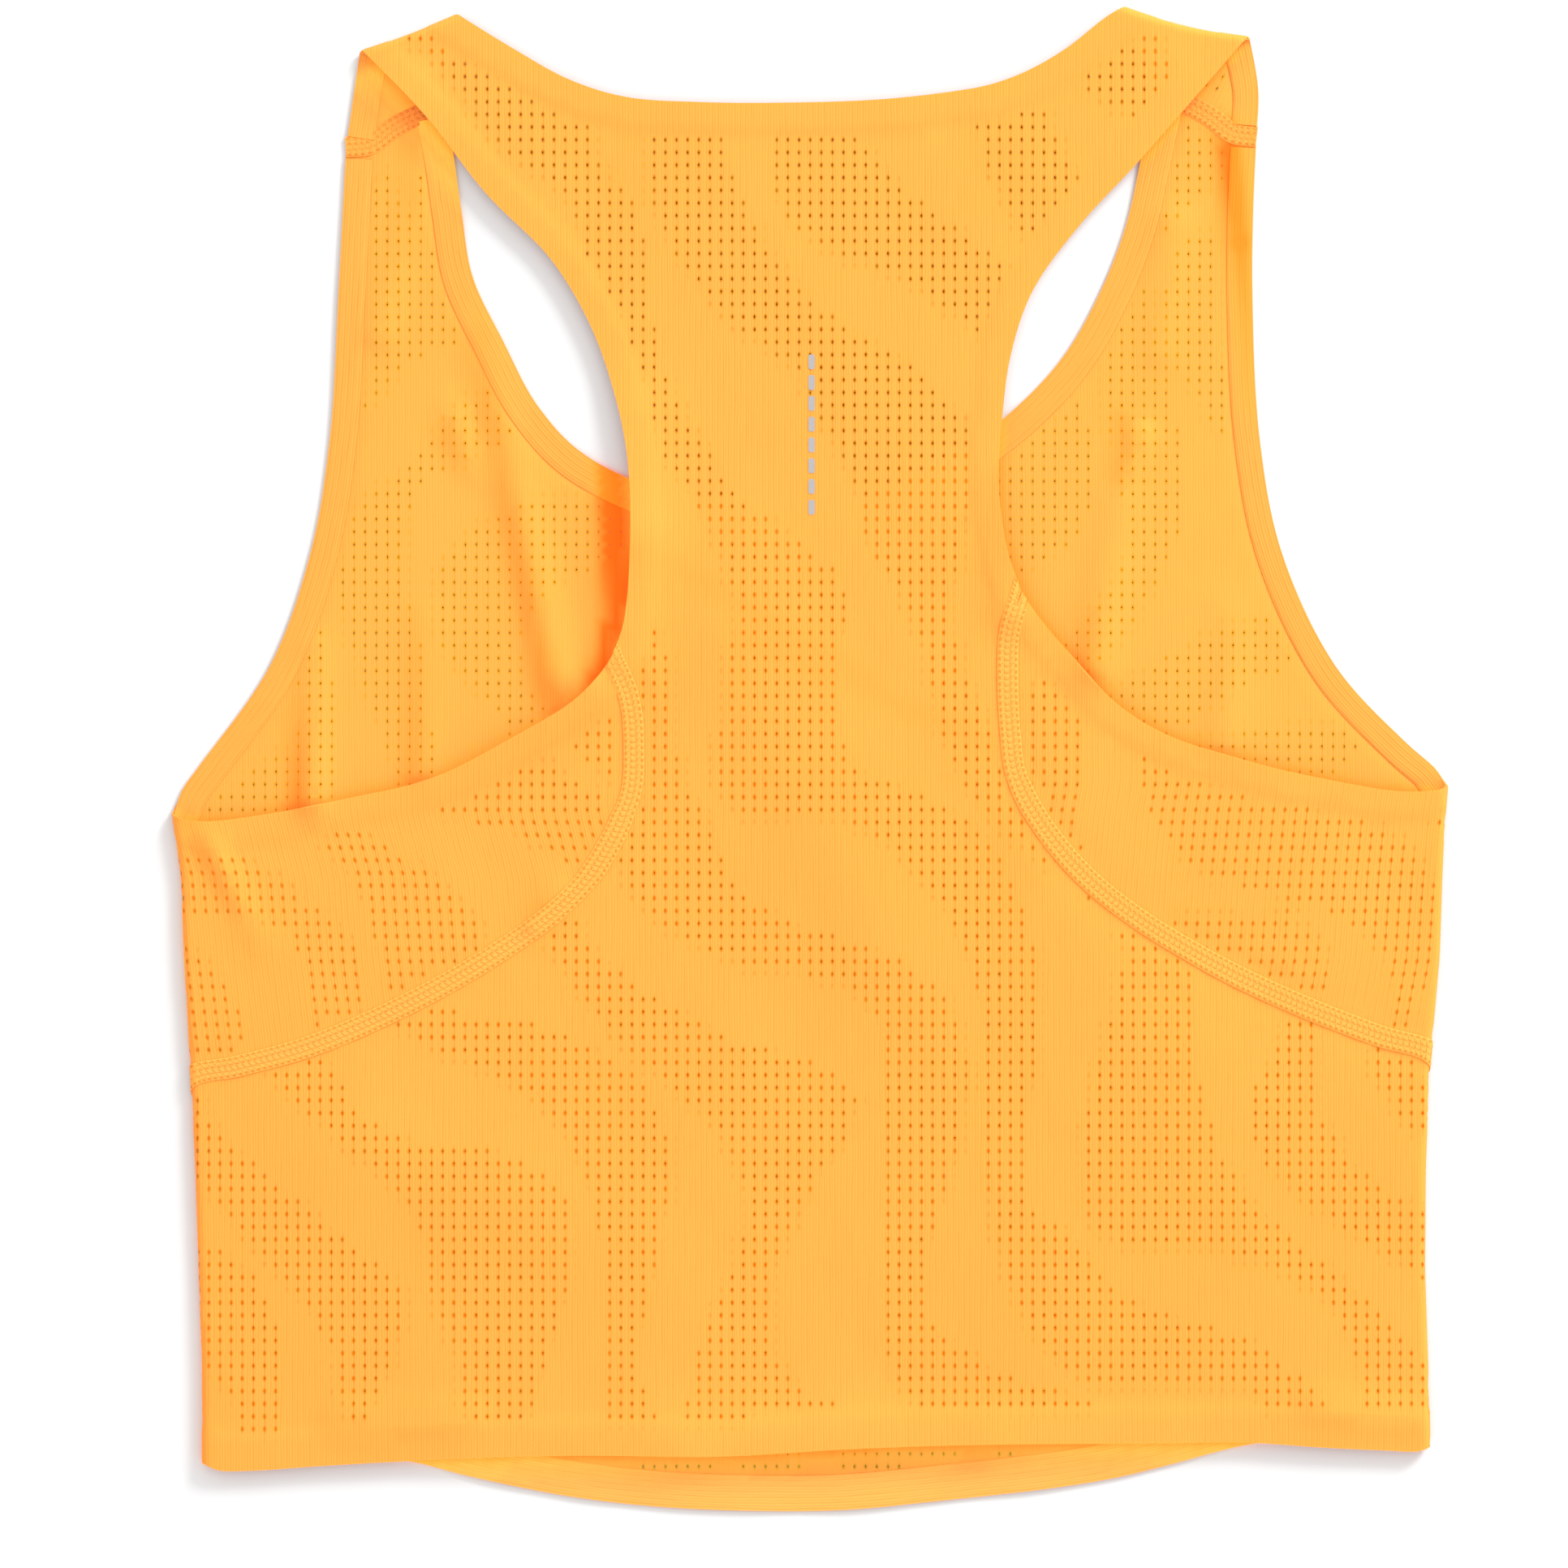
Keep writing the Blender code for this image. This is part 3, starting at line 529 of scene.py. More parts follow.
def place_front(flat: Array) -> Array:
    """Points of the cloth's middle for places on the opened front.

    Args:
        flat: one row of x and y for each place on the opened panel, in metres.

    Returns:
        One row of x, y and z for each place.
    """
    x, y = flat[:, 0], flat[:, 1]
    laid = np.column_stack([x, y, lower_height(x, y)])
    for fold in (LEFT_FOLD, RIGHT_FOLD):
        past = fold.side * (x - fold.line(y))
        turned = past > 0
        laid[turned] = fold.place(past[turned], y[turned])
    return laid


def place_back(flat: Array) -> Array:
    """Points of the cloth's middle for places on the opened back.

    Args:
        flat: one row of x and y for each place on the opened panel, in metres.

    Returns:
        One row of x, y and z for each place.
    """
    x, y = flat[:, 0], flat[:, 1]
    laid = np.column_stack([x, y, upper_height(x, y)])
    for fold in (LEFT_FOLD, RIGHT_FOLD):
        past = fold.side * (x - fold.line(y))
        turned = (past > 0) & (y < 0)
        laid[turned] = fold.place(CLOTH.half_turn - past[turned], y[turned])
    for strap, side in ((LEFT_STRAP_FOLD, -1), (RIGHT_STRAP_FOLD, 1)):
        turned = (strap.beyond(flat) > 0) & (x * side > 0) & (y > 0)
        laid[turned] = strap.place(flat[turned])
    return laid


def surface(place: Placer, flat: Array) -> tuple[Array, Array]:
    """Points of the cloth's middle and its normals.

    Args:
        place: the rule that lays the opened panel down.
        flat: places on the opened panel.

    Returns:
        The points and the unit normals, one row for each place.
    """
    across = place(flat + [NORMAL_REACH, 0.0]) - place(flat - [NORMAL_REACH, 0.0])
    along = place(flat + [0.0, NORMAL_REACH]) - place(flat - [0.0, NORMAL_REACH])
    normals = np.cross(across, along)
    normals /= np.linalg.norm(normals, axis=1)[:, None]
    return place(flat), normals


def smooth_through(points: list, step: float = CLOTH.edge_step) -> list:
    """Points of a centripetal Catmull-Rom curve that passes through the given ones.

    Args:
        points: the points to pass through.
        step: about how far apart the curve's points lie.

    Returns:
        The curve's points as tuples.
    """
    knots = [np.array(point, dtype=float) for point in points]
    padded = [2 * knots[0] - knots[1]] + knots + [2 * knots[-1] - knots[-2]]
    curve = []
    for p0, p1, p2, p3 in zip(padded, padded[1:], padded[2:], padded[3:]):
        t1 = np.linalg.norm(p1 - p0) ** 0.5
        t2 = t1 + np.linalg.norm(p2 - p1) ** 0.5
        t3 = t2 + np.linalg.norm(p3 - p2) ** 0.5
        count = max(1, round(float(np.linalg.norm(p2 - p1)) / step))
        for index in range(count):
            t = t1 + (t2 - t1) * index / count
            a1 = p0 + (p1 - p0) * t / t1
            a2 = p1 + (p2 - p1) * (t - t1) / (t2 - t1)
            a3 = p2 + (p3 - p2) * (t - t2) / (t3 - t2)
            b1 = a1 + (a2 - a1) * t / t2
            b2 = a2 + (a3 - a2) * (t - t1) / (t3 - t1)
            curve.append(tuple(b1 + (b2 - b1) * (t - t1) / (t2 - t1)))
    curve.append(tuple(knots[-1]))
    return curve


def runs_along(points: Array) -> Array:
    """Length of a line up to each of its points."""
    return np.concatenate([[0.0], np.cumsum(np.linalg.norm(np.diff(points, axis=0), axis=1))])


def even_steps(line: list, step: float) -> Array:
    """The line's points spaced evenly.

    Args:
        line: the line's points, in two or three dimensions.
        step: about how far apart the new points lie.

    Returns:
        The new points, one row each.
    """
    points = np.array(line, dtype=float)
    runs = runs_along(points)
    keep = np.linspace(0.0, runs[-1], max(2, round(runs[-1] / step) + 1))
    return np.column_stack([np.interp(keep, runs, column) for column in points.T])


def cut_short(line: list, clear: float) -> list:
    """The line with a stretch taken off at both ends.

    Args:
        line: the line's points.
        clear: length to take off at each end.

    Returns:
        The shorter line's points.
    """
    if not clear:
        return line
    points = np.array(line, dtype=float)
    runs = runs_along(points)
    inner = runs[(runs > clear) & (runs < runs[-1] - clear)]
    keep = np.concatenate([[clear], inner, [runs[-1] - clear]])
    return list(np.column_stack([np.interp(keep, runs, column) for column in points.T]))


def side_ways(line: Array) -> Array:
    """Unit vectors to the left of each point of an open line."""
    runs = np.gradient(line, axis=0)
    runs /= np.linalg.norm(runs, axis=1)[:, None]
    return np.column_stack([-runs[:, 1], runs[:, 0]])


def inset(loop: list, distance: float) -> list:
    """The closed loop moved inwards, whichever way round it runs.

    Args:
        loop: the loop's points.
        distance: how far it moves.

    Returns:
        The moved points.
    """
    points = [Vector(point) for point in loop]
    area = sum(a.x * b.y - b.x * a.y for a, b in zip(points, points[1:] + points[:1]))
    turn = 1.0 if area > 0 else -1.0
    moved = []
    for before, here, after in zip(points[-1:] + points[:-1], points, points[1:] + points[:1]):
        way_in = (here - before).normalized()
        way_out = (after - here).normalized()
        normal = Vector((-way_in.y - way_out.y, way_in.x + way_out.x)).normalized() * turn
        miter = max(LEAST_MITER, normal.dot(Vector((-way_out.y, way_out.x)) * turn))
        moved.append(tuple(here + normal * (distance / miter)))
    return moved


class Edge(NamedTuple):
    """One edge of an opened panel: what it is and the points it runs through."""

    kind: EdgeKind
    points: list


def back_seam_rounds(fold: SideFold, knots: list[Knot], hem_height: float) -> list:
    """The back seam and the side seam below it, as distances round the fold and heights.

    Args:
        fold: the fold that the seam turns round.
        knots: the seam's points on the plan.
        hem_height: height on the plan of the seam's lower end, in millimetres.

    Returns:
        Pairs of distance round the fold and place along it.
    """
    rows = [(fold.round_distance(knot), knot.y * MM) for knot in knots]
    for knee in SIDE_SEAM_KNEES:
        rows.append((-knee.share * CLOTH.side_seam_inset, knots[-1].y * MM - knee.down * MM))
    rows.append((-CLOTH.side_seam_inset, hem_height * MM))
    return smooth_through(rows)


def front_flat(fold: SideFold, distance: float, y: float) -> tuple[float, float]:
    """Place on the opened front of a point given round a fold."""
    return (float(fold.line(y)) + fold.side * distance, y)


def back_flat(fold: SideFold, distance: float, y: float) -> tuple[float, float]:
    """Place on the opened back of a point given round a fold."""
    return (float(fold.line(y)) - fold.side * (distance - CLOTH.half_turn), y)


def seam_edge(flat_of: Callable[[SideFold, float, float], tuple[float, float]],
              fold: SideFold, rounds: list) -> list:
    """A back seam's points on an opened panel, from its points round the fold."""
    return [flat_of(fold, distance, y) for distance, y in rounds]


def front_edge(fold: SideFold, knots: list[Knot]) -> list:
    """A smooth edge of the opened front through knots on any layer near one fold."""
    return smooth_through([front_flat(fold, fold.round_distance(k), k.y * MM) for k in knots])


def plan_edge(knots: list[Knot]) -> list:
    """A smooth edge through knots as they lie on the plan."""
    return smooth_through([(knot.x * MM, knot.y * MM) for knot in knots])


def strap_edge(fold: StrapFold, knots: list[Knot]) -> list:
    """A smooth edge of the opened back through knots that lie under a shoulder fold."""
    return smooth_through([fold.open_out(knot) for knot in knots])


LEFT_SEAM = back_seam_rounds(LEFT_FOLD, LEFT_BACK_SEAM, LEFT_HEM_HEIGHT)
RIGHT_SEAM = back_seam_rounds(RIGHT_FOLD, RIGHT_BACK_SEAM, RIGHT_HEM_HEIGHT)


@functools.cache
def front_edges() -> dict[str, Edge]:
    """Works out the edges of the opened front.

    Returns:
        The edges in order, from the neck round by the left.
    """
    left_seam = seam_edge(front_flat, LEFT_FOLD, LEFT_SEAM)
    right_seam = seam_edge(front_flat, RIGHT_FOLD, RIGHT_SEAM)
    inner_hem = [(knot.x * MM, knot.y * MM) for knot in FRONT_HEM]
    hem = [left_seam[-1], *inner_hem, right_seam[-1]]
    left_arm = front_edge(LEFT_FOLD, LEFT_ARMHOLE_FRONT + LEFT_WING_TOP)
    right_arm = front_edge(RIGHT_FOLD, RIGHT_ARMHOLE_FRONT + RIGHT_WING_TOP)
    return {
        "neck": Edge(EdgeKind.NECK, plan_edge(FRONT_NECK)[::-1]),
        "left_shoulder": Edge(EdgeKind.SHOULDER, plan_edge(LEFT_SHOULDER)[::-1]),
        "left_armhole": Edge(EdgeKind.ARMHOLE, left_arm),
        "left_seam": Edge(EdgeKind.SEAM, left_seam),
        "hem": Edge(EdgeKind.HEM, smooth_through(hem)),
        "right_seam": Edge(EdgeKind.SEAM, right_seam[::-1]),
        "right_armhole": Edge(EdgeKind.ARMHOLE, right_arm[::-1]),
        "right_shoulder": Edge(EdgeKind.SHOULDER, plan_edge(RIGHT_SHOULDER)[::-1]),
    }


@functools.cache
def back_edges() -> dict[str, Edge]:
    """Works out the edges of the opened back.

    Returns:
        The edges in order, from the neck round by the left.
    """
    left_seam = seam_edge(back_flat, LEFT_FOLD, LEFT_SEAM)
    right_seam = seam_edge(back_flat, RIGHT_FOLD, RIGHT_SEAM)
    hem = [left_seam[-1]]
    for knot in BACK_HEM:
        fold = LEFT_FOLD if knot.x < 0 else RIGHT_FOLD
        hem.append(back_flat(fold, fold.round_distance(knot), knot.y * MM))
    hem.append(right_seam[-1])
    neck = plan_edge(BACK_NECK)
    left_armhole = plan_edge(LEFT_ARMHOLE_BACK)
    right_armhole = plan_edge(RIGHT_ARMHOLE_BACK)
    # The straps' ends, and the edges that run on to them over the shoulder folds.
    left_end = strap_edge(LEFT_STRAP_FOLD, LEFT_SHOULDER)
    right_end = strap_edge(RIGHT_STRAP_FOLD, RIGHT_SHOULDER)
    left_neck_run = smooth_through([left_end[-1], neck[0]])
    right_neck_run = smooth_through([neck[-1], right_end[0]])
    left_arm_run = smooth_through([left_end[0], left_armhole[0]])
    right_side = [RIGHT_STRAP_FOLD.open_out(knot) for knot in RIGHT_STRAP_SIDE]
    right_arm_run = smooth_through([right_armhole[0]] + right_side + [right_end[-1]])
    whole_neck = left_neck_run[:-1] + neck[:-1] + right_neck_run
    return {
        "neck": Edge(EdgeKind.NECK, whole_neck[::-1]),
        "left_shoulder": Edge(EdgeKind.SHOULDER, left_end[::-1]),
        "left_armhole": Edge(EdgeKind.ARMHOLE, left_arm_run[:-1] + left_armhole),
        "left_seam": Edge(EdgeKind.SEAM, left_seam),
        "hem": Edge(EdgeKind.HEM, smooth_through(hem)),
        "right_seam": Edge(EdgeKind.SEAM, right_seam[::-1]),
        "right_armhole": Edge(EdgeKind.ARMHOLE, right_armhole[::-1][:-1] + right_arm_run),
        "right_shoulder": Edge(EdgeKind.SHOULDER, right_end[::-1]),
    }


def edge_loop(edges: dict[str, Edge]) -> list:
    """The closed outline that a panel's edges make."""
    return [point for edge in edges.values() for point in edge.points[:-1]]


class Swing(NamedTuple):
    """A sine that bends the zones: how far, and its length in millimetres for a radian."""

    reach: float
    length: float


CROSS_SWING = Swing(reach=15.0, length=27.0)    # three that reach in millimetres
SHORT_SWING = Swing(reach=8.0, length=19.0)
LONG_SWING = Swing(reach=17.0, length=33.0)
STRIPE_SWING = Swing(reach=1.5, length=31.0)    # and two in radians
BLOB_SWING = Swing(reach=1.9, length=26.0)
STRIPE_LENGTH = 7.8         # millimetres for a radian, like the next
BLOB_LENGTH = 19.0
STRIPE_PHASE = 0.6
SHORT_PHASE = 1.3           # of the short swing, as a share of the zones' phase
BLOB_SHARE = 0.75           # how strongly the blobs act beside the stripes
SMALLEST_EYELET = 0.55      # share of a full eyelet at a zone's border
EYELET_GROWTH = 1.6         # how fast the eyelets grow from there to the zone's middle
EYELET_SPREAD = (0.90, 1.08)    # of their sizes
EYELET_WANDER = 0.08        # millimetres that they stray from their places
EYELET_LEAN = 0.14          # how far they lean, in radians
EYELET_CORNERS = 6


@dataclass(frozen=True)
class EyeletZones:
    """Where the open-worked zones of the knit lie and how their eyelets are spaced.

    Attributes:
        pitch_x: from one column of eyelets to the next.
        pitch_y: from one row to the next.
        half_width: of a full eyelet.
        half_height: of a full eyelet.
        turn: how far the flow of the zones is turned, in degrees.
        phase: shifts the zones from one panel to the next.
        cover: higher values leave more of the cloth plain.
        patches: places that are more open, or with a negative gain more closed.
        seed: of the small unevenness from eyelet to eyelet.
    """

    pitch_x: float = 3.7 * MM
    pitch_y: float = 4.2 * MM
    half_width: float = 0.28 * MM
    half_height: float = 0.46 * MM
    turn: float = 24.0
    phase: float = 0.0
    cover: float = -0.12
    patches: tuple[Patch, ...] = ()
    seed: int = 5

    def strength(self, flat: Array) -> Array:
        """How open the knit is.

        Args:
            flat: places on the opened panel.

        Returns:
            For each place a number over zero inside a zone, and highest at its middle.
        """
        angle = math.radians(self.turn)
        x, y = flat[:, 0] / MM, flat[:, 1] / MM
        p = x * math.cos(angle) + y * math.sin(angle)    # across the flow, and q along it
        q = y * math.cos(angle) - x * math.sin(angle)
        p = (p + CROSS_SWING.reach * np.sin(q / CROSS_SWING.length + self.phase)
             + SHORT_SWING.reach * np.sin(x / SHORT_SWING.length + SHORT_PHASE * self.phase))
        q = q + LONG_SWING.reach * np.sin(p / LONG_SWING.length - self.phase)
        stripe_sway = STRIPE_SWING.reach * np.sin(q / STRIPE_SWING.length + STRIPE_PHASE)
        blob_sway = BLOB_SWING.reach * np.sin(p / BLOB_SWING.length + self.phase)
        stripes = np.sin(p / STRIPE_LENGTH + stripe_sway)
        blobs = np.sin(q / BLOB_LENGTH + blob_sway)
        total = stripes + BLOB_SHARE * blobs - self.cover
        for patch in self.patches:
            away = np.hypot(x - patch.x, y - patch.y) / patch.radius
            total = total + patch.gain * np.exp(-away * away)
        return total

    def eyelets(self, low: Array, high: Array) -> tuple[Array, Array]:
        """Middles of the eyelets in a rectangle and how large each one is.

        Args:
            low: lower left corner of the rectangle.
            high: upper right corner.

        Returns:
            The middles, and for each the share of a full eyelet's size.
        """
        columns = np.arange(math.ceil(low[0] / self.pitch_x), high[0] / self.pitch_x)
        rows = np.arange(math.ceil(low[1] / self.pitch_y), high[1] / self.pitch_y)
        middles = np.array([(c * self.pitch_x, r * self.pitch_y) for c in columns for r in rows])
        strength = self.strength(middles)
        inside_zone = strength > 0.0
        middles, strength = middles[inside_zone], strength[inside_zone]
        chance = random.Random(self.seed)
        wander = [(chance.uniform(-1, 1), chance.uniform(-1, 1)) for _ in middles]
        size = np.clip(SMALLEST_EYELET + strength * EYELET_GROWTH, SMALLEST_EYELET, 1.0)
        size = size * np.array([chance.uniform(*EYELET_SPREAD) for _ in middles])
        return middles + np.array(wander) * EYELET_WANDER * MM, size

    def outline(self, middle: Array, size: float, chance: random.Random) -> list:
        """Outline of one eyelet, an upright oval that leans a little.

        Args:
            middle: of the eyelet.
            size: share of a full eyelet's size.
            chance: gives the lean.

        Returns:
            The points round it.
        """
        lean = chance.uniform(-EYELET_LEAN, EYELET_LEAN)
        points = []
        for corner in range(EYELET_CORNERS):
            angle = math.radians(90.0 + 360.0 / EYELET_CORNERS * corner)
            x = self.half_width * size * math.cos(angle)
            y = self.half_height * size * math.sin(angle)
            points.append((middle[0] + x - lean * y, middle[1] + y + lean * x))
        return points


def tree_of(points: Array) -> KDTree:
    """Makes a search tree over flat points.

    Args:
        points: the points, one row each.

    Returns:
        The tree.
    """
    tree = KDTree(len(points))
    for index, point in enumerate(points):
        tree.insert((point[0], point[1], 0.0), index)
    tree.balance()
    return tree


def distances(points: Array, tree: KDTree) -> Array:
    """Distance from each flat point to the nearest point in the tree."""
    return np.array([tree.find((point[0], point[1], 0.0))[2] for point in points])


def clear_of(points: Array, tree: KDTree, gap: float) -> Array:
    """The flat points that lie further than the gap from all points in the tree."""
    return points[distances(points, tree) > gap]


def inside(points: Array, loop: list) -> Array:
    """Finds the flat points that lie inside a closed loop.

    Args:
        points: the points, one row each.
        loop: the loop's points.

    Returns:
        True for each point inside.
    """
    x, y = points[:, 0], points[:, 1]
    odd = np.zeros(len(points), dtype=bool)
    for (ax, ay), (bx, by) in zip(loop, loop[1:] + loop[:1]):
        crosses = (ay > y) != (by > y)
        if ay != by:
            odd ^= crosses & (x < (bx - ax) * (y - ay) / (by - ay) + ax)
    return odd


def soft_step(value: Array) -> Array:
    """Rises smoothly from 0 to 1 as the value does."""
    value = np.clip(value, 0.0, 1.0)
    return value * value * (3.0 - 2.0 * value)


def grid_faces(rows: int, columns: int, forwards: bool) -> list:
    """Faces between points that are ordered by row and then by column.

    Args:
        rows: number of rows.
        columns: number of points in a row.
        forwards: whether the faces look to the side of the surface's normals.

    Returns:
        The indexes of the points round each face.
    """
    faces = []
    for row in range(rows - 1):
        for first in range(row * columns, (row + 1) * columns - 1):
            face = (first, first + columns, first + columns + 1, first + 1)
            faces.append(face if forwards else face[::-1])
    return faces


SHARP_ANGLE = math.radians(42.0)    # past which an edge of a piece is shown sharp
THINNED = 0.2                       # share of the thickness at a strip's thinned edge


class Shell:
    """Turns laid points and faces into a finished thin piece of cloth."""

    def __init__(self, name: str, thickness: float, materials: list) -> None:
        """Keeps what the piece needs.

        Args:
            name: the piece's name.
            thickness: of its wall.
            materials: for the side that the faces look to, and then for the other side.
        """
        self.name = name
        self.thickness = thickness
        self.materials = materials

    def build(self, points: Array, faces: list, values: dict[str, Array],
              full: list | None = None) -> Piece:
        """Makes the piece.

        Args:
            points: of the middle of the wall.
            faces: indexes of the points round each face.
            values: attributes of the points; one column makes a number, three a vector.
            full: indexes of the points with the full thickness, where the others are thinned out.

        Returns:
            The finished object.
        """
        mesh = bpy.data.meshes.new(self.name)
        mesh.from_pydata(points.tolist(), [], faces)
        for key, rows in values.items():
            kind, field_name = ("FLOAT", "value") if rows.ndim == 1 else ("FLOAT_VECTOR", "vector")
            layer = mesh.attributes.new(key, kind, "POINT")
            layer.data.foreach_set(field_name, rows.astype(np.float32).ravel())
        for material in self.materials:
            mesh.materials.append(material)
        piece = show(self.name, mesh)
        wall = piece.modifiers.new("wall", "SOLIDIFY")
        wall.thickness = self.thickness
        wall.offset = 0.0
        wall.material_offset = len(self.materials) - 1
        if full is not None:
            group = piece.vertex_groups.new(name="full")
            group.add(full, 1.0, "REPLACE")
            wall.vertex_group = group.name
            wall.thickness_vertex_group = THINNED
        select_only(piece)
        bpy.ops.object.modifier_apply(modifier=wall.name)
        piece.data.shade_smooth()
        piece.data.set_sharp_from_angle(angle=SHARP_ANGLE)
        return piece


def show(name: str, data: bpy.types.ID) -> Piece:
    """Puts a mesh, a lamp or a camera into the scene as an object."""
    piece = bpy.data.objects.new(name, data)
    bpy.context.scene.collection.objects.link(piece)
    return piece


def select_only(piece: Piece) -> None:
    """Deselects everything and makes the piece the active one."""
    bpy.ops.object.select_all(action="DESELECT")
    piece.select_set(True)
    bpy.context.view_layer.objects.active = piece


def shift_to_frame(points: Array) -> Array:
    """The points moved from the plan's tables to the frame's origin."""
    return points + [PLAN_SHIFT[0], PLAN_SHIFT[1], 0.0]


# How far the cloth's points stay from others, so that no face is a sliver.
ROW_TO_ROW = 0.9 * MM       # a fold's row from the outline, and a band's row from a fold's
ROW_TO_EYELET = 1.25 * MM
GRID_TO_EDGE = 1.4 * MM
GRID_TO_ROW = 2.0 * MM
GRID_TO_EYELET = 2.3 * MM

TURN_PARTS = 6              # steps from row to row of points round half a turn
TURN_ROWS = np.arange(-1, TURN_PARTS + 2)
TURN_ROW_STEP = 3.0 * MM    # from point to point of such a row at a side fold
STRAP_SHARES = np.linspace(-0.6, 1.6, 50)    # the same at a shoulder fold, as shares of its line
UNDERARM = 6.0 * MM         # above this height there is no side fold
BAND_ROW_STEP = 2.4 * MM    # along a band of doubled cloth
BAND_ROWS = (-0.5 * MM, 0.4 * MM)       # from the line where that band ends
TREE_STEP = 0.6 * MM        # along an edge that distances are taken from
OPEN_REACH = 1.0 * MM       # round an eyelet's middle the knit is open
OPEN_FADE = 1.9 * MM        # past that reach it turns plain
SAME_POINT = 1e-7           # metres, under which two of the cut's points are one


@dataclass
class KnitPanel:
    """One cut piece of the knit with its eyelets.

    Attributes:
        name: the piece's name.
        node: the solid that it stands for.
        edges: its edges in order, which close to a loop.
        place: the rule that lays it down.
        zones: where its eyelets lie.
        outer_sign: +1 where the faces' normals point out of the garment, -1 where into it.
        materials: for the side that the normals point to, and for the other side.
        margins: how far eyelets stay from each kind of edge.
        band_rise: how far the doubled cloth along a turned edge stands out.
        band_slope: width of the step where it ends.
        seam_dip: depth of the trough beside a seam.
        seam_dip_away: from the seam to the trough.
        seam_dip_width: of the trough.
        band_widths: width of the doubled cloth along each kind of edge.
    """

    name: str
    node: str
    edges: dict[str, Edge]
    place: Placer
    zones: EyeletZones
    outer_sign: int
    materials: list
    margins: dict[EdgeKind, float] = field(default_factory=lambda: {
        EdgeKind.NECK: 11.8 * MM, EdgeKind.ARMHOLE: 10.8 * MM, EdgeKind.HEM: 13.0 * MM,
        EdgeKind.SEAM: 4.6 * MM, EdgeKind.SHOULDER: 6.0 * MM,
    })
    band_rise: float = 0.20 * MM
    band_slope: float = 0.9 * MM
    seam_dip: float = 0.28 * MM
    seam_dip_away: float = 5.2 * MM
    seam_dip_width: float = 2.2 * MM
    band_widths: dict[EdgeKind, float] = field(default_factory=lambda: {
        EdgeKind.NECK: 10.0 * MM, EdgeKind.ARMHOLE: 9.0 * MM, EdgeKind.HEM: 12.0 * MM,
    })

    def loop(self) -> list:
        """The panel's outline, moved in by half of the gap at the seams."""
        return inset(edge_loop(self.edges), CLOTH.seam_gap / 2)

    def kind_trees(self) -> dict[EdgeKind, KDTree]:
        """Makes search trees over the edges.

        Returns:
            A tree for each kind of edge that the panel has.
        """
        trees = {}
        for kind in EdgeKind:
            rows = [even_steps(edge.points, TREE_STEP) for edge in self.edges.values()
                    if edge.kind is kind]
            if rows:
                trees[kind] = tree_of(np.concatenate(rows))
        return trees

    def choose_eyelets(self, loop: list,
                       trees: dict[EdgeKind, KDTree]) -> tuple[Array, Array]:
        """Finds the eyelets that lie in a zone and clear of the edges.

        Args:
            loop: the panel's outline.
            trees: search trees over its edges.

        Returns:
            Their middles, and for each the share of a full eyelet's size.
        """
        corners = np.array(loop)
        middles, sizes = self.zones.eyelets(corners.min(axis=0), corners.max(axis=0))
        keep = inside(middles, loop)
        middles, sizes = middles[keep], sizes[keep]
        for kind, tree in trees.items():
            keep = distances(middles, tree) > self.margins[kind]
            middles, sizes = middles[keep], sizes[keep]
        return middles, sizes

    def turn_points(self, loop: list) -> Array:
        """Sets close rows of points where the cloth turns over a fold.

        Args:
            loop: the panel's outline.

        Returns:
            The points, also some that lie outside the panel.
        """
        corners = np.array(loop)
        levels = TURN_ROWS * CLOTH.half_turn / TURN_PARTS
        heights = np.arange(corners[:, 1].min(), corners[:, 1].max(), TURN_ROW_STEP)
        heights = heights[heights < UNDERARM]
        on_back = self.place is place_back
        flat_of = back_flat if on_back else front_flat
        rows = []
        for fold in (LEFT_FOLD, RIGHT_FOLD):
            for level in levels:
                rows += [flat_of(fold, float(level), float(height)) for height in heights]
        for strap in (LEFT_STRAP_FOLD, RIGHT_STRAP_FOLD) if on_back else ():
            for level in levels:
                rows += [tuple(strap.line_point(share) + strap.outwards * level)
                         for share in STRAP_SHARES]
        return np.array(rows)

    def plain_points(self, loop: list, middles: Array) -> Array:
        """Sets the cloth's points between the eyelets, close together at the folds.

        Args:
            loop: the panel's outline.
            middles: of the eyelets.

        Returns:
            The points.
        """
        corners = np.array(loop)
        low, high = corners.min(axis=0), corners.max(axis=0)
        xs = np.arange(low[0], high[0], CLOTH.plain_step)
        ys = np.arange(low[1], high[1], CLOTH.plain_step)
        grid = np.array([(x, y) for x in xs for y in ys])
        edge_tree, eyelet_tree = tree_of(corners), tree_of(middles)
        turned = self.turn_points(loop)
        turned = clear_of(turned[inside(turned, loop)], edge_tree, ROW_TO_ROW)
        turned = clear_of(turned, eyelet_tree, ROW_TO_EYELET)
        bands = clear_of(self.band_points(loop), edge_tree, GRID_TO_EDGE)
        bands = clear_of(bands, eyelet_tree, ROW_TO_EYELET)
        grid = clear_of(grid[inside(grid, loop)], edge_tree, GRID_TO_EDGE)
        grid = clear_of(grid, eyelet_tree, GRID_TO_EYELET)
        grid = clear_of(grid, tree_of(turned), GRID_TO_ROW)
        grid = clear_of(grid, tree_of(bands), GRID_TO_ROW)
        return np.concatenate([turned, clear_of(bands, tree_of(turned), ROW_TO_ROW), grid])

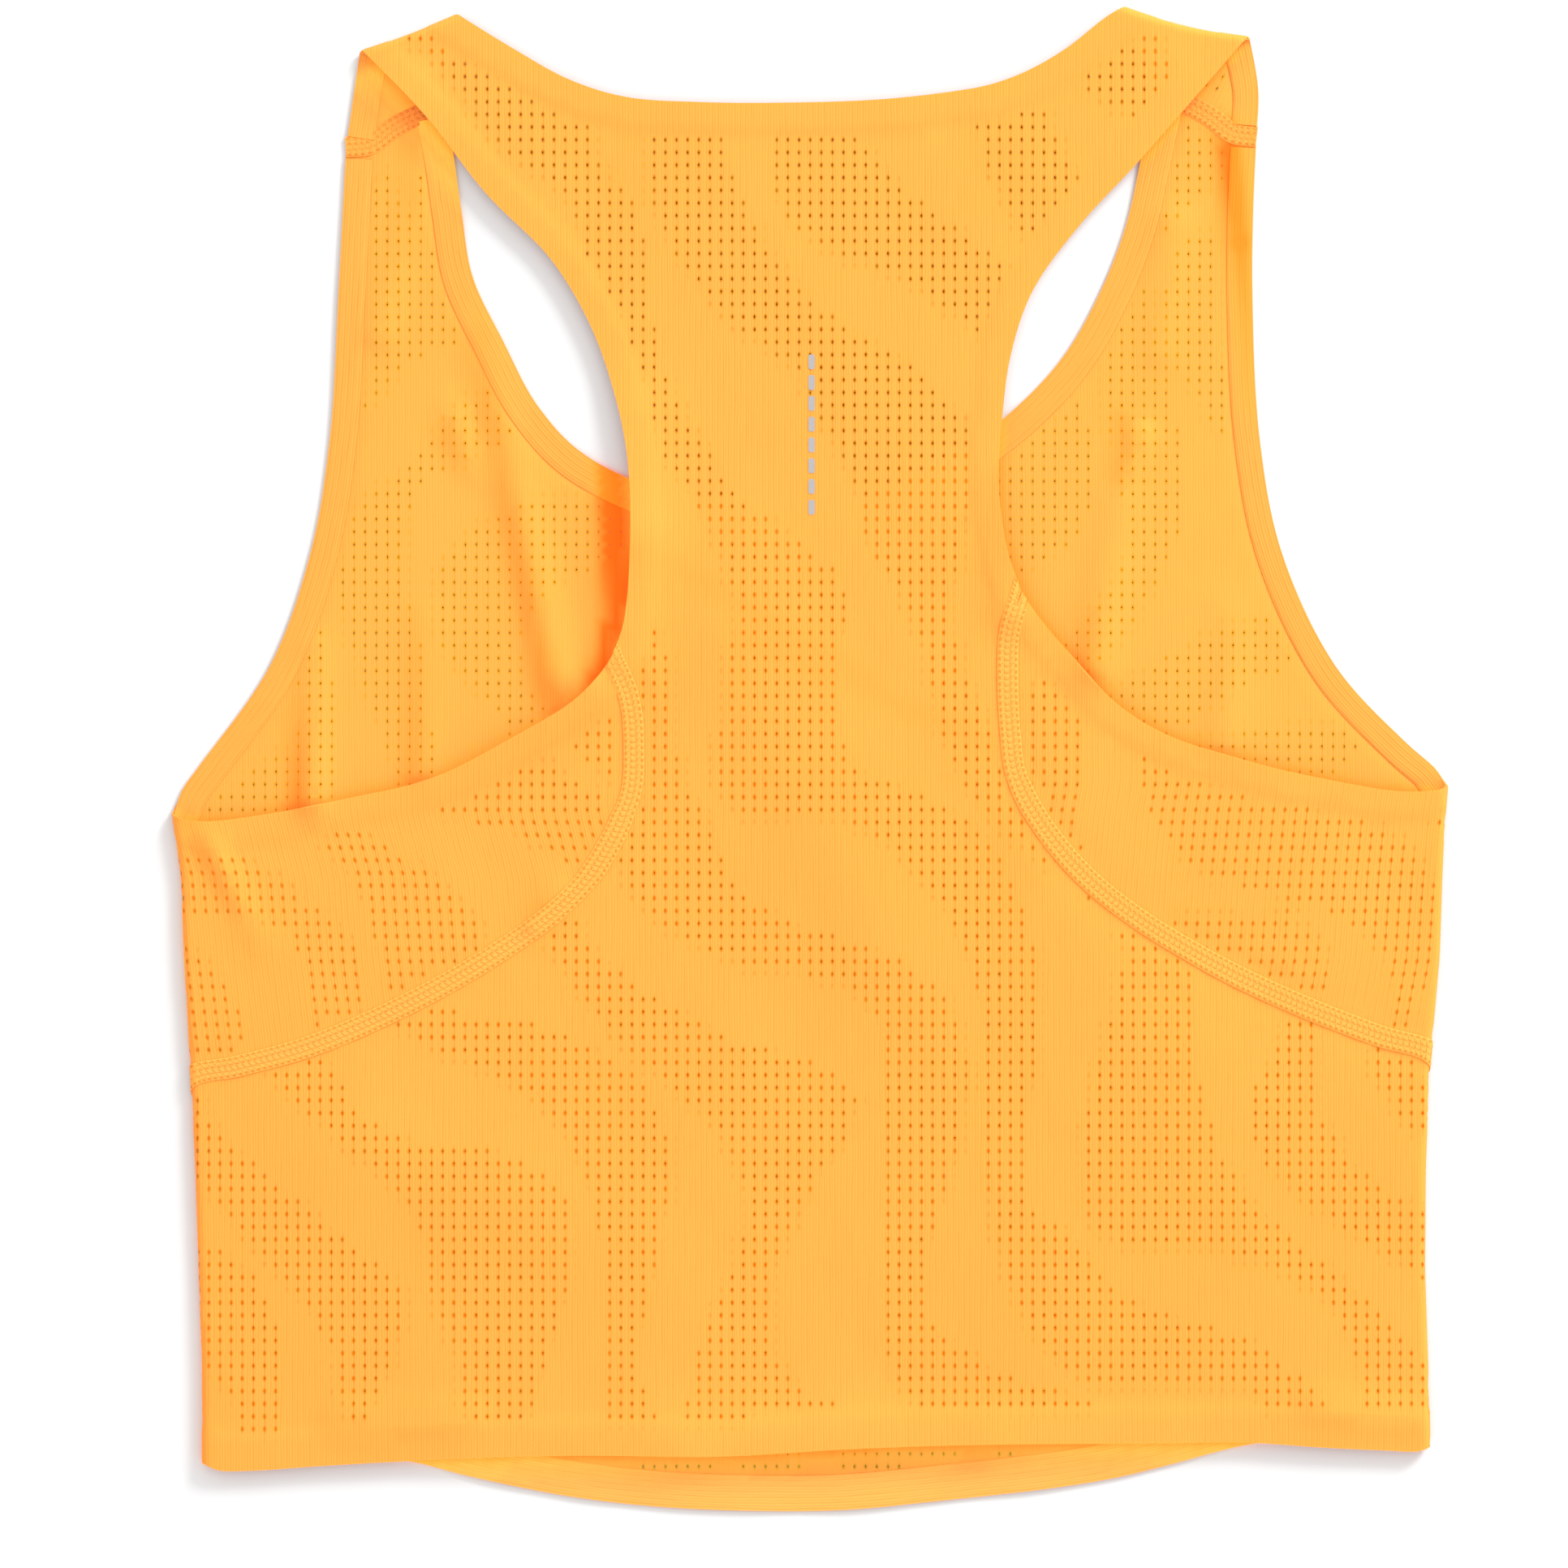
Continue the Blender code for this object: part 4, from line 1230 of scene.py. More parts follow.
    def band_points(self, loop: list) -> Array:
        """Sets two close rows of points where the doubled cloth along each edge ends.

        Args:
            loop: the panel's outline.

        Returns:
            The points.
        """
        rows = []
        for edge in self.edges.values():
            if edge.kind not in self.band_widths:
                continue
            line = even_steps(edge.points, BAND_ROW_STEP)
            aside = side_ways(line)
            for reach in BAND_ROWS:
                rows.append(line + aside * (self.band_widths[edge.kind] + reach))
        points = np.concatenate(rows)
        return points[inside(points, loop)]

    def relief(self, flat: Array, trees: dict[EdgeKind, KDTree]) -> Array:
        """How far the cloth stands out where it is doubled, and sinks beside a seam.

        Args:
            flat: places on the opened panel.
            trees: search trees over its edges.

        Returns:
            The height at each place, out of the garment.
        """
        rise = np.zeros(len(flat))
        for kind, tree in trees.items():
            away = distances(flat, tree)
            if kind in self.band_widths:
                inner = (self.band_widths[kind] + BAND_ROWS[1] - away) / self.band_slope
                rise = np.maximum(rise, self.band_rise * soft_step(inner))
            if kind is EdgeKind.SEAM:
                dip = (away - self.seam_dip_away) / self.seam_dip_width
                rise = rise - self.seam_dip * np.exp(-dip * dip)
        return rise

    def build(self) -> Piece:
        """Cuts the panel flat, lays it down and gives it its wall.

        Returns:
            The finished panel.
        """
        loop = self.loop()
        trees = self.kind_trees()
        middles, sizes = self.choose_eyelets(loop, trees)
        chance = random.Random(self.zones.seed + 1)
        spots = [Vector(point) for point in loop]
        links = [(index, (index + 1) % len(loop)) for index in range(len(loop))]
        owner = [-1] * len(loop)
        openness = [0.0] * len(loop)
        for number, (middle, size) in enumerate(zip(middles, sizes)):
            first = len(spots)
            spots += [Vector(point) for point in self.zones.outline(middle, size, chance)]
            links += [(first + corner, first + (corner + 1) % EYELET_CORNERS)
                      for corner in range(EYELET_CORNERS)]
            owner += [number] * EYELET_CORNERS
            openness += [1.0] * EYELET_CORNERS
        plain = self.plain_points(loop, middles)
        spots += [Vector(point) for point in plain]
        owner += [-1] * len(plain)
        away = (distances(plain, tree_of(middles)) - OPEN_REACH) / OPEN_FADE
        openness += list(1.0 - soft_step(away))
        flat, _, faces, origin, *_ = delaunay_2d_cdt(spots, links, [], 1, SAME_POINT)
        holders = [owner[source[0]] if source else -1 for source in origin]
        # A face whose corners all belong to one eyelet is its hole.
        cloth_faces = [face for face in faces if holders[face[0]] < 0
                       or any(holders[index] != holders[face[0]] for index in face)]
        places = np.array([(point.x, point.y) for point in flat])
        opens = np.array([openness[source[0]] if source else 0.0 for source in origin])
        points, normals = surface(self.place, places)
        points = points + normals * (self.outer_sign * self.relief(places, trees))[:, None]
        cloth_place = np.column_stack([places / MM, np.zeros(len(places))])
        values = {"cloth": cloth_place, "openwork": opens, **light_values(points)}
        shell = Shell(self.name, CLOTH.thickness, self.materials)
        panel = shell.build(shift_to_frame(points), cloth_faces, values)
        dress(panel, self.node, [self.node])
        log.info("%s: %d eyelets, %d faces", self.name, len(middles), len(panel.data.polygons))
        return panel


def dress(piece: Piece, slot_node: str, stands_for: list[str]) -> None:
    """Lets the piece ride on the body and hides the solids that it stands for.

    Args:
        piece: the finished piece.
        slot_node: not used.
        stands_for: the nodes that it replaces.
    """
    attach(piece, BODY)
    if stands_for:
        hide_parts(*stands_for)


class StripRow(NamedTuple):
    """A turned strip, in millimetres, and the node that it stands for on the front."""

    edge: str
    clear: float    # at both ends
    width: float
    front_node: str


STRIPS = (
    StripRow(edge="neck", clear=3.7, width=10.0, front_node="front_neck_turning"),
    StripRow(edge="left_armhole", clear=3.7, width=9.0, front_node="left_armhole_turning"),
    StripRow(edge="right_armhole", clear=3.7, width=8.5, front_node="right_armhole_turning"),
    StripRow(edge="hem", clear=0.0, width=12.0, front_node="front_hem_turning"),
)


class StripColumn(NamedTuple):
    """A line of points along a turned strip: its depth from the edge and how far it sinks.

    The depth is a share of the strip's width, and millimetres beside that.
    """

    share: float
    beside: float = 0.0
    sink: float = 0.0


STRIP_STEP = 2.0 * MM   # along a turned strip
STRIP_COLUMNS = (
    StripColumn(share=0.0, beside=0.15, sink=0.06),
    StripColumn(share=0.0, beside=0.5),
    StripColumn(share=0.28),
    StripColumn(share=0.52),
    StripColumn(share=0.76),
    StripColumn(share=1.0, beside=-1.1),
    StripColumn(share=1.0, sink=0.13),
)


@dataclass
class TurnedStrip:
    """A strip of the knit that is turned in along an edge and bonded to the inside.

    Attributes:
        name: the piece's name.
        node: the node which it stands for unless that is the panel's.
        row: its edge and sizes.
        panel: the panel that it is turned in on.
        material: of its two sides.
    """

    name: str
    node: str
    row: StripRow
    panel: KnitPanel
    material: Material

    def build(self) -> Piece:
        """Lays the strip along the panel's inside.

        Returns:
            The finished strip.
        """
        width = self.row.width * MM
        inner_sign = -self.panel.outer_sign
        edge = self.panel.edges[self.row.edge]
        line = even_steps(cut_short(edge.points, self.row.clear * MM), STRIP_STEP)
        aside = side_ways(line)
        runs = runs_along(line) / MM
        lift = CLOTH.thickness / 2 + CLOTH.bond_gap + CLOTH.turning_thickness / 2
        flat, cloth_place, lifts = [], [], []
        for spot, inwards, run in zip(line, aside, runs):
            for column in STRIP_COLUMNS:
                depth = column.share * width + column.beside * MM
                flat.append(spot + inwards * depth)
                cloth_place.append((depth / MM, run, 0.0))
                lifts.append(lift - column.sink * MM)
        points, normals = surface(self.panel.place, np.array(flat))
        points = points + normals * (inner_sign * np.array(lifts))[:, None]
        count = len(STRIP_COLUMNS)
        faces = grid_faces(len(line), count, inner_sign > 0)
        values = {"cloth": np.array(cloth_place), "openwork": np.zeros(len(points)),
                  **light_values(points)}
        full = [index for index in range(len(points)) if index % count != count - 1]
        shell = Shell(self.name, CLOTH.turning_thickness, [self.material])
        strip = shell.build(shift_to_frame(points), faces, values, full)
        dress(strip, self.node, [self.node] if self.node != self.panel.node else [])
        log.info("%s: %.0f mm long", self.name, runs[-1])
        return strip


def under_upper_layer(plan: Array) -> Array:
    """Which places of the plan have the upper layer above them.

    Args:
        plan: the places, one row each.

    Returns:
        True under the back and under the parts of the front that turn onto it.
    """
    above = inside(plan, edge_loop(back_edges()))
    for strap, side in ((LEFT_STRAP_FOLD, -1), (RIGHT_STRAP_FOLD, 1)):
        above &= ~((strap.beyond(plan) > 0) & (plan[:, 0] * side > 0) & (plan[:, 1] > 0))
    front_loop = edge_loop(front_edges())
    for fold in (LEFT_FOLD, RIGHT_FOLD):
        line = fold.line(plan[:, 1])
        inwards = fold.side * (line - plan[:, 0])
        opened = np.column_stack([line + fold.side * (CLOTH.half_turn + inwards), plan[:, 1]])
        above |= (inwards > 0) & inside(opened, front_loop)
    return above


@functools.cache
def upper_map() -> Array:
    """Maps where the upper layer is.

    Returns:
        1 or 0 on a grid of 1 mm over the plan, with a row for each Y.
    """
    half_width, half_height = PLAN_HALF
    columns = np.arange(-half_width, half_width + 1)
    rows = np.arange(-half_height, half_height + 1)
    spots = np.array([(x, y) for y in rows for x in columns]) * MM
    return under_upper_layer(spots).reshape(len(rows), len(columns)).astype(float)


def upper_share(plan: Array) -> Array:
    """Reads the upper layer's map softly, between its grid's points.

    Args:
        plan: the places, one row each.

    Returns:
        For each place a share from 0 to 1.
    """
    cover = upper_map()
    row_count, column_count = cover.shape
    column = np.clip(plan[:, 0] / MM + PLAN_HALF[0], 0.0, column_count - 1.001)
    row = np.clip(plan[:, 1] / MM + PLAN_HALF[1], 0.0, row_count - 1.001)
    left, low = column.astype(int), row.astype(int)
    right_share, high_share = column - left, row - low
    below = cover[low, left] * (1 - right_share) + cover[low, left + 1] * right_share
    above = cover[low + 1, left] * (1 - right_share) + cover[low + 1, left + 1] * right_share
    return below * (1 - high_share) + above * high_share


def is_lower(laid: Array) -> Array:
    """Which laid points are of the lower layer."""
    return laid[:, 2] < upper_height(laid[:, 0], laid[:, 1]) - CLOTH.turn_radius


def mean_cover(laid: Array, offsets: list[tuple[float, float]]) -> Array:
    """Share of the places beside points of the lower layer that the upper layer covers.

    Args:
        laid: the laid points of the cloth's middle.
        offsets: from a point to the places beside it that are looked at.

    Returns:
        For each point a share from 0 to 1, and 0 on the upper layer.
    """
    total = np.zeros(len(laid))
    for offset in offsets:
        total += upper_share(laid[:, :2] + offset)
    return np.where(is_lower(laid), total / len(offsets), 0.0)


def fold_shade_share(laid: Array) -> Array:
    """Share of the painted fold shade, a darker orange along the listed folds, from 0 to 1."""
    x, y = laid[:, 0], laid[:, 1]
    below, above = ridge_height(LOWER_FOLD_SHADES, x, y), ridge_height(UPPER_FOLD_SHADES, x, y)
    return np.clip(np.where(is_lower(laid), below, above) / MM, 0.0, 1.0)


# Places beside a point of the lower layer where the upper one's cover is looked at, for the
# painted shade and glow.
TUCK_REACH = 2.2 * MM
TUCK_RING = [(TUCK_REACH * math.cos(turn * math.pi / 4), TUCK_REACH * math.sin(turn * math.pi / 4))
             for turn in range(8)]
SHADE_STEPS = [(KEY_WAY[0] * away * MM, KEY_WAY[1] * away * MM)
               for away in (1.0, 3.0, 5.0, 7.0, 9.0, 11.0)]


def light_values(laid: Array) -> dict[str, Array]:
    """Masks of the painted shade and glow: tucked under the upper layer, in its shade, in a fold.
    """
    return {"tucked": mean_cover(laid, TUCK_RING), "shaded": mean_cover(laid, SHADE_STEPS),
            "fold_shade": fold_shade_share(laid)}


def covered(fold: SideFold, flat: Array) -> Array:
    """Which places of the opened front, drawn on past its seam, lie on the front or the back.

    Args:
        fold: the side fold near those places.
        flat: the places, one row each.

    Returns:
        True where there is cloth.
    """
    line = fold.line(flat[:, 1])
    distance = fold.side * (flat[:, 0] - line)
    on_back = np.column_stack([line - fold.side * (distance - CLOTH.half_turn), flat[:, 1]])
    return inside(flat, edge_loop(front_edges())) | inside(on_back, edge_loop(back_edges()))


class BandColumn(NamedTuple):
    """A line of points along a band: its share of half the width, and its rise in millimetres."""

    share: float
    rise: float


BAND_HALF = (
    BandColumn(share=0.12, rise=0.03), BandColumn(share=0.4, rise=0.0),
    BandColumn(share=0.68, rise=0.04), BandColumn(share=0.9, rise=0.06),
    BandColumn(share=1.0, rise=-0.12),
)
BAND_COLUMNS = (*(BandColumn(-column.share, column.rise) for column in reversed(BAND_HALF)),
                BandColumn(share=0.0, rise=-0.06), *BAND_HALF)
BAND_RIPPLE = 0.04 * MM


@dataclass
class FlatlockSeam:
    """A flat seam: a thin raised band with four rows of stitches and threads across.

    Attributes:
        name: the band's name; its threads take it with a suffix.
        line: the seam's line on the opened front.
        outer_sign: +1 where the band lies on the side that the normals point to.
        band_material: of the band.
        thread_material: of the threads.
        fold: the side fold that a back seam turns round; its upper end is cut to the armhole.
        width: of the band.
        thickness: of the band.
        rows: places of the needle rows across the band.
        stitch_pitch: from one stitch to the next.
        stitch_length: of the thread that shows.
        thread_radius: of the sewing thread.
        band_gap: from the cloth to the band.
        thread_lift: of the threads' middle over the band.
        end_rows: number of rows of the band over which its cut end is evened out.
        run_on: how far a back seam's line is drawn out before that end is cut.
        band_step: from one row of the band to the next, in millimetres.
    """

    name: str
    line: list
    outer_sign: int
    band_material: Material
    thread_material: Material
    fold: SideFold | None = None
    width: float = 6.8 * MM
    thickness: float = 0.20 * MM
    rows: tuple[float, ...] = (-2.7 * MM, -0.9 * MM, 0.9 * MM, 2.7 * MM)
    stitch_pitch: float = 2.1 * MM
    stitch_length: float = 1.55 * MM
    thread_radius: float = 0.13 * MM
    band_gap: float = 0.01 * MM
    thread_lift: float = 0.05 * MM
    end_rows: int = 18
    run_on: float = 7.0 * MM
    band_step: float = 0.7

    def run_up(self) -> list:
        """Draws a back seam's line out past the armhole's edge.

        Returns:
            The seam's line.
        """
        if self.fold is None:
            return self.line
        first, second = np.array(self.line[0]), np.array(self.line[1])
        ahead = (first - second) / np.linalg.norm(first - second) * self.run_on
        return [tuple(first + ahead)] + list(self.line)

    def band_places(self, line: Array, across: Array) -> Array:
        """The band's flat points, with a back seam's upper end cut along the armhole.

        Args:
            line: the seam's points.
            across: places of the band's columns.

        Returns:
            The points, ordered by place along the line and then by column.
        """
        flat = line[:, None, :] + side_ways(line)[:, None, :] * across[None, :, None]
        if self.fold is not None:
            ends = np.arange(self.end_rows + 1)
            for column in range(len(across)):
                upper_part = flat[:self.end_rows + 1, column].copy()
                start = int(np.argmax(covered(self.fold, upper_part)))
                rows = np.linspace(start, self.end_rows, self.end_rows + 1)
                flat[:self.end_rows + 1, column, 0] = np.interp(rows, ends, upper_part[:, 0])
                flat[:self.end_rows + 1, column, 1] = np.interp(rows, ends, upper_part[:, 1])
        return flat.reshape(-1, 2)

    def band(self) -> Piece:
        """Makes the raised band, with its two edges a little higher than its middle.

        Returns:
            The band.
        """
        across = self.width / 2 * np.array([column.share for column in BAND_COLUMNS])
        rise = np.array([column.rise for column in BAND_COLUMNS]) * MM
        line = even_steps(self.run_up(), self.band_step * MM)
        runs = np.arange(len(line)) * self.band_step
        points, normals = surface(place_front, self.band_places(line, across))
        ripple = BAND_RIPPLE * np.sin(2 * math.pi * runs * MM / self.stitch_pitch)
        lift = CLOTH.thickness / 2 + self.thickness / 2 + self.band_gap
        lifts = (lift + rise[None, :] + ripple[:, None]).reshape(-1)
        points = points + normals * (self.outer_sign * lifts)[:, None]
        points[:, 2] = np.maximum(points[:, 2], self.thickness / 2)
        count = len(across)
        faces = grid_faces(len(line), count, self.outer_sign > 0)
        place = np.column_stack([np.tile(across / MM, len(line)), np.repeat(runs, count),
                                 np.zeros(len(points))])
        shell = Shell(self.name, self.thickness, [self.band_material])
        return shell.build(shift_to_frame(points), faces,
                           {"cloth": place, "openwork": np.zeros(len(points))})

    def threads(self) -> Piece:
        """Makes the stitches along the needle rows and the threads that cross between them.

        Returns:
            All the threads as one piece.
        """
        line = even_steps(self.line, self.stitch_pitch / 2)
        aside = side_ways(line)
        along = np.gradient(line, axis=0)
        along /= np.linalg.norm(along, axis=1)[:, None]
        starts, ends = [], []
        for index in range(1, len(line) - 1):
            for number, row in enumerate(self.rows):
                middle = line[index] + aside[index] * row
                if (index + number) % 2 == 0:
                    starts.append(middle - along[index] * self.stitch_length / 2)
                    ends.append(middle + along[index] * self.stitch_length / 2)
                elif number + 1 < len(self.rows):
                    starts.append(middle)
                    ends.append(line[index + 1] + aside[index + 1] * self.rows[number + 1])
        starts, ends = np.array(starts), np.array(ends)
        if self.fold is not None:
            keep = covered(self.fold, starts) & covered(self.fold, ends)
            starts, ends = starts[keep], ends[keep]
        first, normals = surface(place_front, starts)
        last, _ = surface(place_front, ends)
        outwards = normals * self.outer_sign
        lift = CLOTH.thickness / 2 + self.thickness + self.thread_lift
        first, last = first + outwards * lift, last + outwards * lift
        points, faces = thread_grains(first, last, outwards, self.thread_radius)
        points[:, 2] = np.maximum(points[:, 2], 0.0)
        mesh = bpy.data.meshes.new(self.name + "_threads")
        mesh.from_pydata(shift_to_frame(points).tolist(), [], faces)
        mesh.materials.append(self.thread_material)
        mesh.shade_smooth()
        return show(mesh.name, mesh)

    def build(self) -> list[Piece]:
        """Makes the band and its threads.

        Returns:
            The two finished pieces.
        """
        pieces = [self.band(), self.threads()]
        for piece in pieces:
            dress(piece, "back_panel", [])
        log.info("%s: %d thread faces", self.name, len(pieces[1].data.polygons))
        return pieces


GRAIN_FULL = (0.2, 0.8)     # shares of a grain's length between which it is full


def thread_grains(first: Array, last: Array, outwards: Array,
                  radius: float) -> tuple[Array, list]:
    """Short lengths of thread, each a closed grain that tapers at both ends.

    Args:
        first: where each grain starts.
        last: where each grain ends.
        outwards: the cloth's outward direction at each grain.
        radius: of the thread.

    Returns:
        The points and the faces of all the grains.
    """
    axis = last - first
    sides = np.cross(outwards, axis)
    sides /= np.linalg.norm(sides, axis=1)[:, None]
    points, faces = [], []
    for start, run, side, out in zip(first, axis, sides, outwards):
        tip = len(points)
        corners = [side * radius, out * radius, -side * radius, -out * radius]
        points.append(start)
        for share in GRAIN_FULL:
            points += [start + run * share + corner for corner in corners]
        points.append(start + run)
        near, far, end = tip + 1, tip + 1 + len(corners), tip + 1 + 2 * len(corners)
        for corner in range(len(corners)):
            after = (corner + 1) % len(corners)
            faces.append((tip, near + after, near + corner))
            faces.append((near + corner, near + after, far + after, far + corner))
            faces.append((end, far + corner, far + after))
    return np.array(points), faces


@dataclass
class ReflectiveDashes:
    """A plain upright column of thin reflective dashes on the upper back.

    Attributes:
        material: of the reflective film.
        x: of the column, on the plan.
        top: of the column, on the plan.
        pitch: from one dash to the next.
        count: number of dashes.
        half_width: of a dash.
        half_height: of a dash.
        film: thickness of the film.
        film_gap: from the cloth to the film.
        corners: number of points round a dash.
        squareness: 1 for an oval dash, and lower the squarer it is.
    """

    material: Material
    x: float = 0.5 * MM
    top: float = 132.0 * MM
    pitch: float = 6.9 * MM
    count: int = 8
    half_width: float = 1.1 * MM
    half_height: float = 2.5 * MM
    film: float = 0.08 * MM
    film_gap: float = 0.03 * MM
    corners: int = 24
    squareness: float = 0.45

    def build(self) -> Piece:
        """Lays the film on the back.

        Returns:
            The finished column.
        """
        flat, faces = [], []
        for number in range(self.count):
            base = len(flat)
            middle = np.array([self.x, self.top - self.pitch * number])
            flat.append(middle)
            for angle in np.linspace(0.0, 2 * math.pi, self.corners, endpoint=False):
                round_x = math.copysign(abs(math.cos(angle)) ** self.squareness, math.cos(angle))
                round_y = math.copysign(abs(math.sin(angle)) ** self.squareness, math.sin(angle))
                flat.append(middle + [self.half_width * round_x, self.half_height * round_y])
            faces += [(base, base + 1 + corner, base + 1 + (corner + 1) % self.corners)
                      for corner in range(self.corners)]
        points, normals = surface(place_back, np.array(flat))
        points = points + normals * (CLOTH.thickness / 2 + self.film / 2 + self.film_gap)
        shell = Shell("reflective_dashes", self.film, [self.material])
        dashes = shell.build(shift_to_frame(points), faces, {})
        dress(dashes, "back_panel", [])
        log.info("reflective dashes: %d", self.count)
        return dashes


class Grain(NamedTuple):
    """How fine a noise is, in spots for a millimetre across and along the cloth."""

    across: float
    along: float
    detail: float = 2.0


RIB_WANDER = Grain(across=0.16, along=0.035)
RIB_FADE = Grain(across=0.9, along=0.11)
WALE_FADE = Grain(across=0.7, along=0.06)
YARN = Grain(across=2.4, along=1.1, detail=3.0)
CLOUD = Grain(across=0.02, along=0.012)
BAND_WEAVE = Grain(across=1.5, along=1.2, detail=3.0)


class Fade(NamedTuple):
    """Goes from first to last while a value goes from start to end."""

    start: float
    end: float
    first: float = 1.0
    last: float = 0.0


WALE_LINE = Fade(start=0.05, end=0.17)          # shares of its cell
WALE_BREAKS = Fade(start=0.36, end=0.62, first=0.15, last=1.0)
GROOVE_LINE = Fade(start=0.035, end=0.075)      # shares of its cell
EYELET_SHADE_EDGE = Fade(start=0.70, end=1.25)          # shares of its half size
FAR_IN = Fade(start=0.6, end=1.0, first=0.0, last=1.0)      # shares of being tucked
NEEDLE_HOLE = Fade(start=0.24, end=0.54)        # millimetres from its middle
OUTER_ROWS = Fade(start=1.6, end=2.2, first=0.55, last=1.0)     # millimetres off the middle
HOLE_STRETCH = 0.6      # under 1, because a needle hole is longer along the band
# How dark the painted shade in a needle hole is.
NEEDLE_HOLE_SHADE = 0.9


class NodeGraph:
    """Adds and joins shader nodes of one material, in few words."""

    def __init__(self, name: str) -> None:
        """Starts a material with an empty graph.

        Args:
            name: the material's name.
        """
        self.material = bpy.data.materials.new(name)
        self.material.use_nodes = True
        self.tree = self.material.node_tree
        self.tree.nodes.clear()

    def add(self, kind: str, inputs: dict, **settings: object) -> bpy.types.Node:
        """Adds a node.

        Args:
            kind: the node's type.
            inputs: values or sockets for its inputs, by name or number.
            settings: its other properties.

        Returns:
            The node.
        """
        node = self.tree.nodes.new(kind)
        for key, value in settings.items():
            setattr(node, key, value)
        for key, value in inputs.items():
            if isinstance(value, Socket):
                self.tree.links.new(value, node.inputs[key])
            else:
                node.inputs[key].default_value = value
        return node

    def math(self, operation: str, *values: object) -> Socket:
        """The result of a Math node on numbers or sockets."""
        node = self.add("ShaderNodeMath", dict(enumerate(values)), operation=operation)
        return node.outputs[0]

    def times(self, first: object, second: object) -> Socket:
        """The product of two numbers or sockets."""
        return self.math("MULTIPLY", first, second)

    def mix(self, share: object, first: object, second: object) -> Socket:
        """The mix of two colours, with the second one at a share of 1."""
        node = self.add("ShaderNodeMix", {0: share, 6: first, 7: second}, data_type="RGBA")
        return node.outputs[2]

    def cloth(self) -> tuple[Socket, Socket, Socket]:
        """The place on the opened cloth in millimetres, and how far that is across and along."""
        place = self.add("ShaderNodeAttribute", {}, attribute_name="cloth").outputs["Vector"]
        split = self.add("ShaderNodeSeparateXYZ", {0: place})
        return place, split.outputs["X"], split.outputs["Y"]

    def value(self, name: str) -> Socket:
        """A number that the piece's points carry."""
        return self.add("ShaderNodeAttribute", {}, attribute_name=name).outputs["Fac"]

    def fade(self, value: object, fade: Fade) -> Socket:
        """The value led through a fade."""
        node = self.add("ShaderNodeMapRange", dict(enumerate((value, *fade))))
        return node.outputs[0]

    def length(self, x: Socket, y: Socket) -> Socket:
        """Length of the arrow from the origin to x and y."""
        squares = self.math("ADD", self.times(x, x), self.times(y, y))
        return self.math("SQRT", squares)

    def off_centre(self, value: object, pitch: float, shift: float = 0.0) -> Socket:
        """Distance with its sign from the middle of the value's cell, as a share of the pitch."""
        cell = self.math("FRACT", self.math("MULTIPLY_ADD", value, 1.0 / pitch, shift))
        return self.math("SUBTRACT", cell, 0.5)

    def noise(self, place: Socket, grain: Grain) -> Socket:
        """Adds soft noise.

        Args:
            place: the place on the opened cloth.
            grain: how fine the noise is.

        Returns:
            A number between 0 and 1.
        """
        scale = (grain.across, grain.along, 1.0)
        spot = self.add("ShaderNodeMapping", {"Vector": place, "Scale": scale}).outputs[0]
        inputs = {"Vector": spot, "Scale": 1.0, "Detail": grain.detail}
        return self.add("ShaderNodeTexNoise", inputs).outputs["Fac"]

    def bump(self, height: Socket, depth: float) -> Socket:
        """The normal of a surface with fine relief."""
        node = self.add("ShaderNodeBump", {"Height": height, "Strength": 0.7, "Distance": depth})
        return node.outputs[0]

    def finish(self, shader: Socket) -> Material:
        """Joins a shader to the output and gives back the material."""
        self.add("ShaderNodeOutputMaterial", {"Surface": shader})
        return self.material


